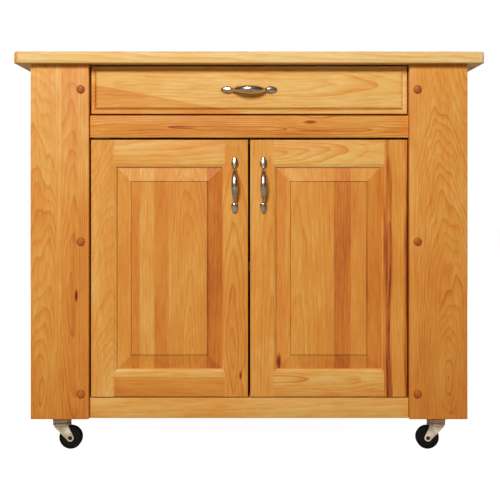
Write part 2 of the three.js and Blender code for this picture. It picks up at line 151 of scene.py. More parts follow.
class Nodes:
    """Adds nodes to a tree. An input takes a value or another node's output."""

    def __init__(self, tree):
        self.tree = tree

    def add(self, kind, inputs=None, **settings):
        node = self.tree.nodes.new(kind)
        for name, value in settings.items():
            setattr(node, name, value)
        for key, value in (inputs or {}).items():
            self.feed(node.inputs[key], value)
        return node

    def feed(self, socket, value):
        if isinstance(value, bpy.types.NodeSocket):
            self.tree.links.new(value, socket)
        else:
            socket.default_value = value

    def math(self, operation, *values):
        return self.add("ShaderNodeMath", dict(enumerate(values)), operation=operation).outputs[0]

    def times(self, *values):
        return self.math("MULTIPLY", *values)

    def plus(self, *values):
        return self.math("ADD", *values)

    def minus(self, *values):
        return self.math("SUBTRACT", *values)

    def scaled(self, value, factor, added):
        return self.math("MULTIPLY_ADD", value, factor, added)

    def vector(self, operation, *values):
        node = self.add("ShaderNodeVectorMath", dict(enumerate(values)), operation=operation)
        return node.outputs[1 if operation == "LENGTH" else 0]

    def between(self, value, low, high, to_low=0.0, to_high=1.0):
        """Smooth step of value from low to high."""
        return self.add("ShaderNodeMapRange", {0: value, 1: low, 2: high, 3: to_low, 4: to_high},
                        interpolation_type="SMOOTHSTEP").outputs[0]

    def noise(self, vector, scale=1.0, detail=2.0, roughness=0.5):
        return self.add("ShaderNodeTexNoise", {
            "Vector": vector, "Scale": scale, "Detail": detail, "Roughness": roughness})

    def split(self, vector):
        return self.add("ShaderNodeSeparateXYZ", {0: vector}).outputs

    def join(self, x, y, z):
        return self.add("ShaderNodeCombineXYZ", {0: x, 1: y, 2: z}).outputs[0]

    def ramp(self, factor, stops):
        node = self.add("ShaderNodeValToRGB", {0: factor})
        elements = node.color_ramp.elements
        while len(elements) < len(stops):
            elements.new(0.5)
        for element, (place, tint) in zip(elements, stops):
            element.position = place
            element.color = (*tint, 1.0)
        return node.outputs[0]


def node_group(name, inputs, outputs):
    """A new shader group and its helper. inputs and outputs map a socket's name to its kind."""
    tree = bpy.data.node_groups.new(name, "ShaderNodeTree")
    for direction, sockets in (("INPUT", inputs), ("OUTPUT", outputs)):
        for socket, kind in sockets.items():
            tree.interface.new_socket(socket, in_out=direction, socket_type=f"NodeSocket{kind}")
    nodes = Nodes(tree)
    return tree, nodes, nodes.add("NodeGroupInput").outputs


def group_output(nodes, **values):
    nodes.add("NodeGroupOutput", {name.replace("_", " "): value for name, value in values.items()})


def growth_rings_group():
    """Rings of a tapering trunk where a board was sawn from it.

    Grain is (along, across, through) in the board. Pith is the trunk's centre: how far across
    and how deep it lies, and how fast its depth changes along the board. Rings is the ring
    spacing, how much it wanders and a seed. Knot is its place along and across, and its radius.
    """
    existing = bpy.data.node_groups.get("Growth Rings")
    if existing:
        return existing
    tree, n, given = node_group(
        "Growth Rings",
        {"Grain": "Vector", "Pith": "Vector", "Rings": "Vector", "Knot": "Vector"},
        {"Line": "Float", "Mottle": "Float", "Fibre": "Float", "Fleck": "Float",
         "Streak": "Float", "Knot Mark": "Float"})
    along, across, through = n.split(given["Grain"])
    pith_across, pith_depth, taper = n.split(given["Pith"])
    spacing, wander, seed = n.split(given["Rings"])
    knot_along, knot_across, knot_radius = n.split(given["Knot"])

    shift = n.vector("MULTIPLY", n.join(seed, seed, seed), (3.71, 5.33, 2.97))
    place = n.vector("ADD", given["Grain"], shift)

    # Distance to the knot, longer along the grain, and the bulge of the rings around it.
    gap_along = n.times(n.minus(along, knot_along), 0.27)
    gap_across = n.minus(across, knot_across)
    knot_gap = n.vector("LENGTH", n.join(gap_along, gap_across, 0.0))
    reach = n.math("MAXIMUM", n.times(knot_radius, 3.2), 0.0001)
    ratio = n.math("DIVIDE", knot_gap, reach)
    near = n.math("EXPONENT", n.times(n.times(ratio, ratio), -1.0))
    bulge = n.times(n.times(near, knot_radius), 2.4)

    slow = n.noise(n.vector("MULTIPLY", place, (2.6, 11.0, 11.0)), detail=2.0)
    sway_across, sway_depth, _ = n.split(n.vector("SUBTRACT", slow.outputs[1], (0.5, 0.5, 0.5)))
    fine = n.noise(n.vector("MULTIPLY", place, (14.0, 60.0, 60.0)), detail=1.0)
    unrest = n.scaled(wander, 22.0, 0.1)
    ripple = n.times(n.minus(fine.outputs[0], 0.5), unrest)
    side = n.plus(n.minus(across, pith_across), n.times(sway_across, wander))
    tilt = n.scaled(along, taper, n.plus(through, pith_depth))
    deep = n.scaled(sway_depth, n.times(wander, 1.6), tilt)
    radius = n.plus(n.vector("LENGTH", n.join(side, deep, 0.0)), bulge)
    count = n.plus(n.math("DIVIDE", radius, spacing), n.plus(seed, ripple))
    within = n.math("FRACT", count)
    ring = n.math("FLOOR", count)
    late = n.minus(n.math("POWER", within, 2.6), n.between(within, 0.92, 1.0))
    strength = n.add("ShaderNodeTexWhiteNoise", {"W": ring}, noise_dimensions="1D").outputs[0]
    line = n.times(late, n.scaled(strength, 0.75, 0.25))

    # Each fine figure: how often it changes along and across the grain, its detail and roughness.
    figures = {"Mottle": (5.0, 17.0, 3.0, 0.55), "Fibre": (11.0, 520.0, 2.0, 0.65),
               "Fleck": (26.0, 230.0, 2.0, 0.6)}
    fine_figures = {
        name: n.noise(n.vector("MULTIPLY", place, (lengthwise, crosswise, crosswise)),
                      detail=detail, roughness=roughness).outputs[0]
        for name, (lengthwise, crosswise, detail, roughness) in figures.items()}
    bands = n.noise(n.vector("MULTIPLY", n.join(along, side, through), (1.1, 48.0, 30.0)),
                    detail=2.0, roughness=0.6)
    streak = n.between(bands.outputs[0], 0.48, 0.64)
    mark = n.between(knot_gap, n.times(knot_radius, 0.35),
                     n.scaled(knot_radius, 1.25, 0.00001), 1.0, 0.0)
    present = n.math("GREATER_THAN", knot_radius, 0.0002)
    group_output(n, Line=line, Streak=streak, Knot_Mark=n.times(mark, present), **fine_figures)
    return tree


def surface_wear_group():
    """Fine unevenness of a coating: a slow smear, a fine speckle and the two joined."""
    existing = bpy.data.node_groups.get("Surface Wear")
    if existing:
        return existing
    tree, n, given = node_group(
        "Surface Wear", {"Vector": "Vector", "Smear Scale": "Float", "Speckle Scale": "Float"},
        {"Smear": "Float", "Speckle": "Float", "Height": "Float"})
    smear = n.noise(given["Vector"], given["Smear Scale"], detail=3.0).outputs[0]
    speckle = n.noise(given["Vector"], given["Speckle Scale"], detail=2.0).outputs[0]
    height = n.scaled(smear, 0.4, n.times(speckle, 0.6))
    group_output(n, Smear=smear, Speckle=speckle, Height=height)
    return tree


def finish(name, build):
    """The material of that name, with its shader fed by build when it is first asked for."""
    material = bpy.data.materials.get(name)
    if not material:
        material = bpy.data.materials.new(name)
        material.use_nodes = True
        n = Nodes(material.node_tree)
        shader = material.node_tree.nodes["Principled BSDF"]
        for socket, value in build(n).items():
            n.feed(shader.inputs[socket.replace("_", " ")], value)
    return material


def bumped(n, height, strength, distance):
    return n.add("ShaderNodeBump", {
        "Strength": strength, "Distance": distance, "Height": height}).outputs[0]


def object_place(n):
    return n.add("ShaderNodeTexCoord").outputs["Object"]


def lacquered_wood(name, roughness, figure=1.0):
    """Wood under clear lacquer. The board's own numbers come from the mesh's attributes."""

    def build(n):
        own = {key: n.add("ShaderNodeAttribute", attribute_name=key).outputs["Vector"]
               for key in GRAIN_NUMBERS}
        # The board's tone carries painted light and shade: lighter or darker sloped faces, darker grooves
        # and the posts' glare gradient.
        tone, contrast, streaks = n.split(own.pop("board"))
        rings = n.add("ShaderNodeGroup", {key.title(): own[key] for key in own},
                      node_tree=growth_rings_group()).outputs
        marks = (
            (n.times(rings["Line"], contrast), 0.40 * figure),
            (n.minus(rings["Mottle"], 0.5), 0.50 * figure),
            (n.minus(rings["Fibre"], 0.5), 0.22 * figure),
            (n.minus(rings["Fleck"], 0.5), 0.30 * figure),
            (n.times(rings["Streak"], streaks), 0.42),
            (rings["Knot Mark"], 0.5),
        )
        depth = tone
        for mark, strength in marks:
            depth = n.scaled(mark, strength, depth)
        c = colours()
        return {
            "Base_Color": n.ramp(depth, [(0.0, c.pale), (0.2, c.straw), (0.42, c.honey),
                                         (0.62, c.amber), (0.82, c.russet), (1.0, c.umber)]),
            "Roughness": n.scaled(rings["Fibre"], 0.14, roughness - 0.07),
            "Specular_IOR_Level": 0.18,
            "Normal": bumped(n, n.scaled(rings["Line"], -0.5, rings["Fibre"]), 0.22, 0.0006),
        }

    return finish(name, build)


def coated(name, clean, dull, roughness, scales=(55.0, 900.0), smears=(0.35, 0.75),
           bump=(0.12, 0.0002), **constant):
    """A coating with slow dull smears and a fine speckle. roughness is its least and its range."""

    def build(n):
        wear = n.add("ShaderNodeGroup", {"Vector": object_place(n), "Smear Scale": scales[0],
                                         "Speckle Scale": scales[1]},
                     node_tree=surface_wear_group()).outputs
        return {
            "Base_Color": n.ramp(n.between(wear["Smear"], *smears), [(0.0, clean), (1.0, dull)]),
            "Roughness": n.scaled(wear["Height"], roughness[1], roughness[0]),
            "Normal": bumped(n, wear["Speckle"], *bump),
            **constant,
        }

    return finish(name, build)


def toned(tint, share):
    return [c * share for c in tint]


def satin_nickel():
    c = colours()
    return coated("nickel_plate", c.nickel, c.nickel_shade, (0.18, 0.12), Metallic=1.0)


def zinc_plate():
    own = colours().zinc
    return coated("zinc_plate", own, toned(own, 0.6), (0.30, 0.24), Metallic=1.0)


def caster_steel():
    c = colours()
    return coated("caster_steel", c.caster, c.caster_shade, (0.28, 0.24), Metallic=0.3)


def blackened_steel():
    own = colours().blackened
    return coated("blackened_steel", own, toned(own, 0.5), (0.38, 0.24), Metallic=1.0)


def wheel_tread():
    own = colours().tread
    return coated("wheel_tread", own, toned(own, 2.2), (0.38, 0.3), (70.0, 1400.0), (0.5, 0.8),
                  (0.25, 0.0003), Specular_IOR_Level=0.2)


def turned_wood():
    """Buttons: darker turned wood with its end grain outwards."""

    def build(n):
        place = object_place(n)
        pores = n.noise(place, 900.0, detail=3.0).outputs[0]
        tone = n.noise(place, 30.0, detail=1.0).outputs[0]
        own = colours().button
        return {
            "Base_Color": n.ramp(n.scaled(pores, 0.5, n.times(tone, 0.5)),
                                 [(0.3, toned(own, 1.25)), (0.7, toned(own, 0.55))]),
            "Roughness": 0.45,
            "Specular_IOR_Level": 0.25,
            "Normal": bumped(n, pores, 0.2, 0.0004),
        }

    return finish("button_wood", build)


# ---- Mesh building ----------------------------------------------------------------------


def bridge(bm, rings, closed=False):
    """Faces between neighbouring rings of vertices. A ring of one vertex is a pole."""
    pairs = list(zip(rings, rings[1:]))
    if closed:
        pairs.append((rings[-1], rings[0]))
    for low, high in pairs:
        count = max(len(low), len(high))
        for i in range(count):
            j = (i + 1) % count
            corners = [low[i % len(low)], low[j % len(low)], high[j % len(high)], high[i % len(high)]]
            bm.faces.new(dict.fromkeys(corners))


def loft(rings):
    """A closed solid through rings of points, with flat ends."""
    bm = bmesh.new()
    made = [[bm.verts.new(p) for p in ring] for ring in rings]
    bridge(bm, made)
    for ring in (made[0], made[-1]):
        if len(ring) > 2:
            bm.faces.new(ring)
    bmesh.ops.recalc_face_normals(bm, faces=bm.faces)
    return bm


def turned(profile, segments, closed=False):
    """A solid turned about Z from (radius, height) points."""
    bm = bmesh.new()
    angles = [math.tau * i / segments for i in range(segments)]
    rings = [[bm.verts.new((radius * math.cos(a), radius * math.sin(a), height))
              for a in (angles if radius else [0.0])] for radius, height in profile]
    bridge(bm, rings, closed)
    bmesh.ops.recalc_face_normals(bm, faces=bm.faces)
    return bm


def arc(centre, radius, start, end, steps):
    """Points on an arc in a plane, with angles in degrees."""
    turns = [math.radians(start + (end - start) * i / steps) for i in range(steps + 1)]
    return [(centre[0] + radius * math.cos(a), centre[1] + radius * math.sin(a)) for a in turns]


def mm(*points):
    """Points given in millimetres."""
    return [tuple(c * MM for c in point) for point in points]


def move(bm, place, axis=None):
    """Moves a solid, after a quarter turn about an axis where one is given."""
    turn = Matrix.Rotation(math.pi / 2, 4, axis) if axis else Matrix.Identity(4)
    bmesh.ops.transform(bm, matrix=Matrix.Translation(place) @ turn, verts=bm.verts)
    return bm


def inner_face(node, sign):
    """Where a node of the side with that sign faces the table's middle."""
    low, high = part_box(node)
    return low[X] if sign > 0 else high[X]


def box_solid(low, high):
    corners = [(low[X], low[Y]), (high[X], low[Y]), (high[X], high[Y]), (low[X], high[Y])]
    return loft([[(x, y, z) for x, y in corners] for z in (low[Z], high[Z])])


def stepped_solid(low, high, profile):
    """A solid whose outline steps in from a box's own: profile lists (inset, y)."""
    return loft([[(x, y, z) for x, z in (
        (low[X] + inset, low[Z] + inset), (high[X] - inset, low[Z] + inset),
        (high[X] - inset, high[Z] - inset), (low[X] + inset, high[Z] - inset))]
        for inset, y in profile])


def ease_edges(bm, radius, segments=2, sharper_than=50):
    """Rounds every edge sharper than an angle in degrees."""
    limit = math.radians(sharper_than)
    sharp = [e for e in bm.edges if len(e.link_faces) == 2 and e.calc_face_angle(0.0) > limit]
    bmesh.ops.bevel(bm, geom=sharp, offset=radius, segments=segments, profile=0.5,
                    affect="EDGES", clamp_overlap=True)


def merge(target, source):
    """Adds source's mesh to target and frees it."""
    spare = bpy.data.meshes.new("spare")
    source.to_mesh(spare)
    source.free()
    target.from_mesh(spare)
    bpy.data.meshes.remove(spare)
    return target


def smoothed(mesh, sharper_than):
    """Smooth shading between faces, except over edges sharper than an angle in degrees."""
    mesh.shade_smooth()
    mesh.set_sharp_from_angle(angle=math.radians(sharper_than))
    return mesh


def to_mesh(bm, name, smooth_angle=32):
    mesh = bpy.data.meshes.new(name)
    bm.to_mesh(mesh)
    bm.free()
    return smoothed(mesh, smooth_angle)


def new_object(name, data):
    made = bpy.data.objects.new(name, data)
    bpy.context.scene.collection.objects.link(made)
    return made


def evaluated_mesh(holder):
    """The plain mesh that an object's modifiers make. The object is removed."""
    graph = bpy.context.evaluated_depsgraph_get()
    mesh = bpy.data.meshes.new_from_object(holder.evaluated_get(graph))
    bpy.data.objects.remove(holder)
    return mesh


def add_piece(name, mesh, material, node=None, body=None):
    """Puts a finished mesh in the scene, in place of a frame node or else added to a body."""
    piece = new_object(name, mesh)
    if material:
        mesh.materials.clear()
        mesh.materials.append(material)
    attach(piece, body or frame["nodes"][node]["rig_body"])
    if node:
        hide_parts(node)
    return piece


# ---- Boards -----------------------------------------------------------------------------

# One board: its tone from 0, pale, to 1, dark, where it was sawn from the trunk (pith: across,
# deep, taper), its ring spacing and how much that wanders in mm, the contrast of its rings, the
# strength of its heart streaks, a knot (along, across, radius), a seed and how much its tone
# changes in a metre of its length. That last change is painted light, the key light's glare
# painted on: a post whose value is negative grows lighter towards its top.
Board = namedtuple(
    "Board", "tone pith ring wander contrast streak knot seed fade",
    defaults=(0.0, (0.0, 0.0, 0.0), 0.0, 0.0))


def random_board(rng, tone, spread=0.07):
    """A board that no drawing fixes: anything from quarter-sawn to flat-sawn."""
    across = rng.choice((-1, 1)) * rng.uniform(0.0, 0.12)
    pith = (across, rng.uniform(0.01, 0.06), rng.uniform(-0.12, 0.12))
    return Board(tone + rng.uniform(-spread, spread), pith, rng.uniform(3.5, 7),
                 rng.uniform(8, 18), rng.uniform(0.5, 1.0), rng.choice((0, 0, 0, 0.35)),
                 seed=rng.uniform(0, 40))


GRAIN_NUMBERS = ("grain", "pith", "rings", "knot", "board")
END_GRAIN_SHADE = 0.13


def write_grain(mesh, along, across, board_of, middle, painted_groove_shade=0.0):
    """Gives each face the numbers of the board that it belongs to.

    board_of takes a face's centre and returns its board, and the board's own middle.
    The last argument is painted shade: it darkens the steep faces, the grooves and coves where shade
    falls.
    """
    through = 3 - along - across
    values = {name: [0.0] * (3 * len(mesh.loops)) for name in GRAIN_NUMBERS}
    for face in mesh.polygons:
        own, centre = board_of(face.center)
        # Painted light and shade: a face sloping along the grain is painted lighter where it faces up the
        # grain and darker where it faces down, as the key light falls on top and bottom bevels. End faces
        # keep the darker end-grain tone.
        slope = face.normal[along]
        shade = END_GRAIN_SHADE if abs(slope) > 0.7 else -0.45 * slope
        # Painted shade: steep faces in grooves and coves are darkened.
        if abs(face.normal[through]) < 0.9:
            shade += painted_groove_shade
        fixed = {
            "pith": own.pith,
            "rings": (own.ring * MM, own.wander * MM, own.seed),
            "knot": own.knot,
        }
        for corner in face.loop_indices:
            place = mesh.vertices[mesh.loops[corner].vertex_index].co
            at = slice(3 * corner, 3 * corner + 3)
            along_board = place[along] - centre[along]
            values["grain"][at] = [along_board, place[across] - centre[across],
                                   place[through] - middle[through]]
            # Painted light: the tone also changes along the board by its painted glare gradient, on top
            # of the painted shade above.
            tone = own.tone + shade + own.fade * along_board
            values["board"][at] = [tone, own.contrast, own.streak]
            for name, numbers in fixed.items():
                values[name][at] = numbers
    for name in GRAIN_NUMBERS:
        layer = mesh.attributes.new(name, "FLOAT_VECTOR", "CORNER")
        layer.data.foreach_set("vector", values[name])


def cut(bm, axis, places, faces=None):
    """Cuts the mesh along planes across an axis, everywhere or only in some faces."""
    normal = [0.0, 0.0, 0.0]
    normal[axis] = 1.0
    for place in places:
        chosen = [f for f in bm.faces if faces is None or faces(f)]
        geometry = list({*chosen, *(e for f in chosen for e in f.edges),
                         *(v for f in chosen for v in f.verts)})
        point = [place * c for c in normal]
        bmesh.ops.bisect_plane(bm, geom=geometry, plane_co=point, plane_no=normal, dist=1e-7)


def wood_for(slot):
    """Clear ply inside the cabinet, and the honey wood for all that shows."""
    if slot == "cabinet_wood":
        return lacquered_wood("clear_coated_ply", 0.50, 0.75)
    return lacquered_wood("honey_lacquered_wood", 0.46)


def wooden(name, bm, along, across, edges, boards, slot, node, smooth_angle=32, painted_groove_shade=0.0):
    """Finishes a wooden piece: glue lines, grain, material and its place in the frame."""
    cut(bm, across, edges[1:-1])
    low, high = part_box(node)
    middle = (low + high) / 2
    mesh = to_mesh(bm, name, smooth_angle)

    def board_of(centre):
        which = sum(centre[across] > edge for edge in edges[1:-1])
        own_middle = [0.0, 0.0, 0.0]
        own_middle[across] = (edges[which] + edges[which + 1]) / 2
        own_middle[along] = middle[along]
        return boards[which], own_middle

    write_grain(mesh, along, across, board_of, middle, painted_groove_shade)
    return add_piece(name, mesh, wood_for(slot), node)


def board_piece(node, along, across, widths, rng, tone, slot, arris):
    """A plain board or glued panel that stands for a CAD box."""
    low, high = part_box(node)
    bm = box_solid(low, high)
    ease_edges(bm, arris)
    span = high[across] - low[across]
    count = max(1, round(span / widths))
    edges = [low[across] + span * i / count for i in range(count + 1)]
    for i in range(1, count):
        edges[i] += rng.uniform(-0.25, 0.25) * span / count
    boards = [random_board(rng, tone) for _ in range(count)]
    wooden(f"{node}_board", bm, along, across, edges, boards, slot, node)


# ---- Slab -------------------------------------------------------------------------------


# The stave along the front: its butt joints, from the table's middle, and its boards.
FRONT_JOINTS = (-0.213, 0.004)
FRONT_STAVES = (
    Board(0.10, (0.004, 0.030, 0.10), 7, 16, 0.7, seed=3.1),
    Board(0.09, (0.030, 0.045, 0.04), 8, 22, 0.8, seed=7.7),
    Board(0.11, (0.010, 0.060, 0.03), 8, 14, 0.6, seed=12.4),
)
BLUNT = 0.5 * MM


def rounded_outline(half_x, half_y, radius, inset):
    """Plan outline of the slab, drawn in from its edge by inset."""
    points = []
    own = max(radius - inset, BLUNT)
    for sx, sy, start in ((1, 1, 0), (-1, 1, 90), (-1, -1, 180), (1, -1, 270)):
        centre = (sx * (half_x - inset - own), sy * (half_y - inset - own))
        points += arc(centre, own, start, start + 90, 8)
    return points


def slab_solid(low, high):
    s = sizes()
    half_x, half_y = high[X], high[Y]
    profile = [(s.slab_arris - x, low[Z] + s.slab_arris + z) for x, z in
               arc((0, 0), s.slab_arris, 270, 360, 3)]
    top = s.slab_round
    profile += [(top - x, high[Z] - top + z) for x, z in arc((0, 0), top, 0, 90, 6)]
    return loft([[(x, y, z) for x, y in rounded_outline(half_x, half_y, s.slab_corner, inset)]
                 for inset, z in profile])


def slab_pieces():
    """Edge-glued staves running the table's length, with staggered butt joints."""
    node = "butcher_block_top"
    low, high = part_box(node)
    rng = random.Random(11)
    bm = slab_solid(low, high)
    count = round((high[Y] - low[Y]) / sizes().stave)
    width = (high[Y] - low[Y]) / count
    edges = [low[Y] + width * i for i in range(count + 1)]
    cut(bm, Y, edges[1:-1])
    staves = []
    for i, (near, far) in enumerate(zip(edges, edges[1:])):
        if i == 0:
            joints = FRONT_JOINTS
        else:
            first = low[X] + rng.uniform(0.12, 0.5)
            joints = [first] + ([first + rng.uniform(0.28, 0.42)] if first < 0.1 else [])
        cut(bm, X, joints, lambda f: near < f.calc_center_median()[Y] < far)
        boards = [random_board(rng, 0.13, 0.12) for _ in range(len(joints) + 1)]
        staves.append((joints, boards if i else FRONT_STAVES))
    bmesh.ops.remove_doubles(bm, verts=bm.verts, dist=1e-6)
    mesh = to_mesh(bm, "slab")
    middle = (low + high) / 2

    def board_of(centre):
        index = min(count - 1, max(0, int((centre[Y] - low[Y]) / width)))
        joints, boards = staves[index]
        which = sum(centre[X] > joint for joint in joints)
        return boards[which], [0.0, edges[index] + width / 2, middle[Z]]

    write_grain(mesh, X, Y, board_of, middle)
    slab_finish = lacquered_wood("oiled_block_wood", 0.42, 0.8)
    add_piece("slab_staves", mesh, slab_finish, node)

# ---- Posts and rails --------------------------------------------------------------------


def post_boards():
    """Glue lines, in mm from the inner edge, and boards of each front post."""
    # Each front post board's last number paints the key light's glare: its tone grows lighter towards the
    # top.
    left = ([0, 23, 60, 71, 127], [
        Board(0.42, (0.05, 0.02, 0.02), 5, 10, 0.7, seed=4.2, fade=-0.2),
        Board(0.43, (0.004, 0.030, 0.10), 5, 24, 0.7, 0.25, (-0.118, 0.0145, 0.004), 2.0, -0.15),
        Board(0.37, (0.03, 0.05, 0.02), 6, 10, 0.5, seed=9.4, fade=-0.25),
        Board(0.38, (-0.004, 0.060, 0.15), 5.5, 40, 0.7, seed=6.1, fade=-0.28),
    ])
    right = ([0, 18, 127], [
        Board(0.44, (0.06, 0.03, 0.01), 5, 8, 0.7, seed=21.3, fade=-0.15),
        Board(0.44, (0.012, 0.060, 0.17), 4.4, 46, 0.9, seed=17.6, fade=-0.15),
    ])
    return {"left": left, "right": right}


def post_pieces():
    rng = random.Random(5)
    drawn = post_boards()
    for end, _ in ENDS:
        for side, sign in SIDES:
            node = f"post_{end}_{side}"
            low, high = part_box(node)
            bm = box_solid(low, high)
            ease_edges(bm, sizes().arris, 3)
            inner = inner_face(node, sign)
            if end == "front":
                steps, boards = drawn[side]
            else:
                steps, boards = (0, 48, 127), [random_board(rng, 0.42) for _ in range(2)]
            edges = [inner + sign * step * MM for step in steps]
            if sign < 0:
                edges.reverse()
                boards = boards[::-1]
            wooden(f"{node}_boards", bm, Z, X, edges, boards, "frame_wood", node)


def rail_pieces():
    """The rail under the drawer, with its dark figure and knot, and the rail under the doors."""
    drawn = {
        "mid_rail": Board(0.40, (-0.004, 0.012, 0.035), 4.5, 26, 1.3, 0.3, (0.134, 0.010, 0.0045),
                          seed=5.7),
        "base_rail": Board(0.30, (0.02, 0.05, 0.015), 7, 14, 0.6, seed=15.2),
    }
    for node, own in drawn.items():
        low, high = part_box(node)
        bm = box_solid(low, high)
        ease_edges(bm, sizes().arris, 3)
        wooden(f"{node}_board", bm, X, Z, [low[Z], high[Z]], [own], "frame_wood", node)


def carcass_pieces():
    """Side panels, partitions, back, floor, shelf and stretchers."""
    rng = random.Random(23)
    arris = sizes().arris
    for side, _ in SIDES:
        board_piece(f"side_panel_{side}", Z, Y, 0.09, rng, 0.40, "frame_wood", arris)
        board_piece(f"partition_{side}", Z, Y, 0.27, rng, 0.22, "cabinet_wood", arris / 2)
    plies = (("back_panel", Z, X, 0.35), ("cabinet_floor", X, Y, 0.27), ("shelf", X, Y, 0.17),
             ("top_stretcher_front", X, Y, 1.0), ("divider_stretcher", X, Y, 1.0))
    for node, along, across, width in plies:
        board_piece(node, along, across, width, rng, 0.20, "cabinet_wood", arris / 2)

# ---- Doors ------------------------------------------------------------------------------

STILE_WIDTH = 57.5 * MM
RAIL_WIDTH = 61 * MM
STICKING = 7 * MM
STICKING_DROP = 6.3 * MM
GROOVE_DEPTH = 10 * MM
GROOVE_HALF = 3 * MM
TONGUE = 9 * MM
PANEL_BEVEL = 31 * MM


def frame_section(width, half, relief=0.0):
    """Section of a stile or rail: in from its outer edge, and through from its middle."""
    r = sizes().arris
    face = -half + relief
    flat = width - STICKING
    front_corner = arc((r, face + r), r, 180, 270, 3)
    back_corner = arc((r, half - r), r, 90, 180, 3)
    moulding = [(flat, face), (flat + 0.15 * MM, face + 1.0 * MM)]
    for i in range(1, 7):
        turn = math.radians(90 * i / 6)
        moulding.append((flat + 0.15 * MM + (STICKING - 0.15 * MM) * math.sin(turn),
                         face + 1.0 * MM + (STICKING_DROP - 1.0 * MM) * (1 - math.cos(turn))))
    groove = [(width - GROOVE_DEPTH, -GROOVE_HALF), (width - GROOVE_DEPTH, GROOVE_HALF),
              (width, GROOVE_HALF), (width, half)]
    lip = [(width, -GROOVE_HALF)]
    return front_corner + moulding + lip + groove + back_corner


def frame_length(section, low, high, side, along):
    """A length of moulding. side is the door edge that it stands on: its axis and direction."""
    axis, sign = side
    start = low[axis] if sign < 0 else high[axis]
    middle = (low[Y] + high[Y]) / 2
    rings = []
    for end in (low[along], high[along]):
        ring = []
        for inwards, through in section:
            point = [0.0, middle + through, 0.0]
            point[axis] = start - sign * inwards
            point[along] = end
            ring.append(point)
        rings.append(ring)
    return loft(rings)


def coped(rail, stiles):
    """Cuts the stiles' moulding out of a rail's ends."""
    holder = new_object("rail_blank", to_mesh(rail, "rail_blank"))
    for stile in stiles:
        modifier = holder.modifiers.new("cope", "BOOLEAN")
        modifier.operation = "DIFFERENCE"
        modifier.solver = "EXACT"
        modifier.object = stile
    mesh = evaluated_mesh(holder)
    for name in GRAIN_NUMBERS:
        mesh.attributes.remove(mesh.attributes[name])
    result = bmesh.new()
    result.from_mesh(mesh)
    bpy.data.meshes.remove(mesh)
    bmesh.ops.remove_doubles(result, verts=result.verts, dist=2e-6)
    return result


def door_boards():
    """Boards of each door. Glue lines are in mm, from a panel's left or a rail's lower edge."""
    left = {
        "stile_outer": Board(0.37, (0.022, 0.080, 0.24), 5.5, 26, 0.45, seed=8.3),
        "stile_inner": Board(0.41, (-0.004, 0.028, 0.12), 7, 24, 0.8, knot=(-0.235, 0.012, 0.003),
                             seed=13.9),
        "rail_top": ([0, 61], [Board(0.30, (0.03, 0.05, 0.03), 6, 12, 0.7, seed=1.8)]),
        "rail_bottom": ([0, 44, 61], [
            Board(0.47, (-0.05, 0.03, 0.02), 3.5, 8, 0.9, seed=19.1),
            Board(0.27, (0.03, 0.05, 0.02), 5, 8, 0.5, seed=20.6),
        ]),
        "panel": ([0, 40, 58, 90, 122, 205, 247.4], [
            Board(0.48, (0.05, 0.04, 0.01), 5, 8, 0.3, seed=3.3),
            Board(0.55, (0.04, 0.03, 0.02), 5, 10, 0.3, seed=27.4),
            Board(0.38, (0.06, 0.05, 0.01), 6, 8, 0.2, seed=11.6),
            Board(0.53, (0.03, 0.03, 0.03), 6, 12, 0.4, seed=35.0),
            Board(0.44, (0.006, 0.025, 0.09), 6, 22, 0.6, seed=30.2),
            Board(0.68, (0.05, 0.05, 0.01), 5, 8, 0.3, seed=16.3),
        ]),
    }
    right = {
        "stile_outer": Board(0.42, (-0.010, 0.014, 0.03), 6, 20, 0.7, 1.0, seed=24.6),
        "stile_inner": Board(0.39, (0.02, 0.03, 0.04), 7, 16, 0.6, seed=28.7),
        "rail_top": ([0, 61], [Board(0.30, (0.00, 0.030, 0.10), 6, 30, 0.9, seed=32.8)]),
        "rail_bottom": ([0, 61], [Board(0.33, (0.004, 0.020, 0.05), 6, 34, 1.1, seed=36.1)]),
        "panel": ([0, 29, 135, 172, 205, 247.4], [
            Board(0.54, (0.05, 0.04, 0.02), 5, 8, 0.3, knot=(-0.205, 0.000, 0.0055), seed=38.2),
            Board(0.42, (-0.030, 0.030, 0.05), 9, 18, 0.4, seed=2.9),
            Board(0.66, (0.05, 0.04, 0.04), 5, 10, 0.35, seed=6.6),
            Board(0.48, (0.06, 0.05, 0.01), 6, 8, 0.25, seed=10.4),
            Board(0.57, (0.05, 0.04, 0.03), 5, 10, 0.35, 0.15, seed=14.5),
        ]),
    }
    return {"left": left, "right": right}


def panel_solid(low, high):
    """The raised panel: a tongue for the grooves, a wide bevel, a quirk and the field."""
    middle = (low[Y] + high[Y]) / 2
    half = (high[Y] - low[Y]) / 2
    tongue_front = middle - half + 6.2 * MM
    tongue_back = tongue_front + 5.4 * MM
    step = 1.6 * MM
    quirk = 0.6 * MM
    field = TONGUE + PANEL_BEVEL
    profile = [
        (13 * MM, high[Y]), (13 * MM, tongue_back), (0.0, tongue_back), (0.0, tongue_front),
        (TONGUE + 0.5 * MM, tongue_front), (field - 2 * quirk, low[Y] + step),
        (field - quirk, low[Y] + step + quirk), (field, low[Y] + 0.2 * MM), (field + 0.3 * MM, low[Y]),
    ]
    return stepped_solid(low, high, profile)


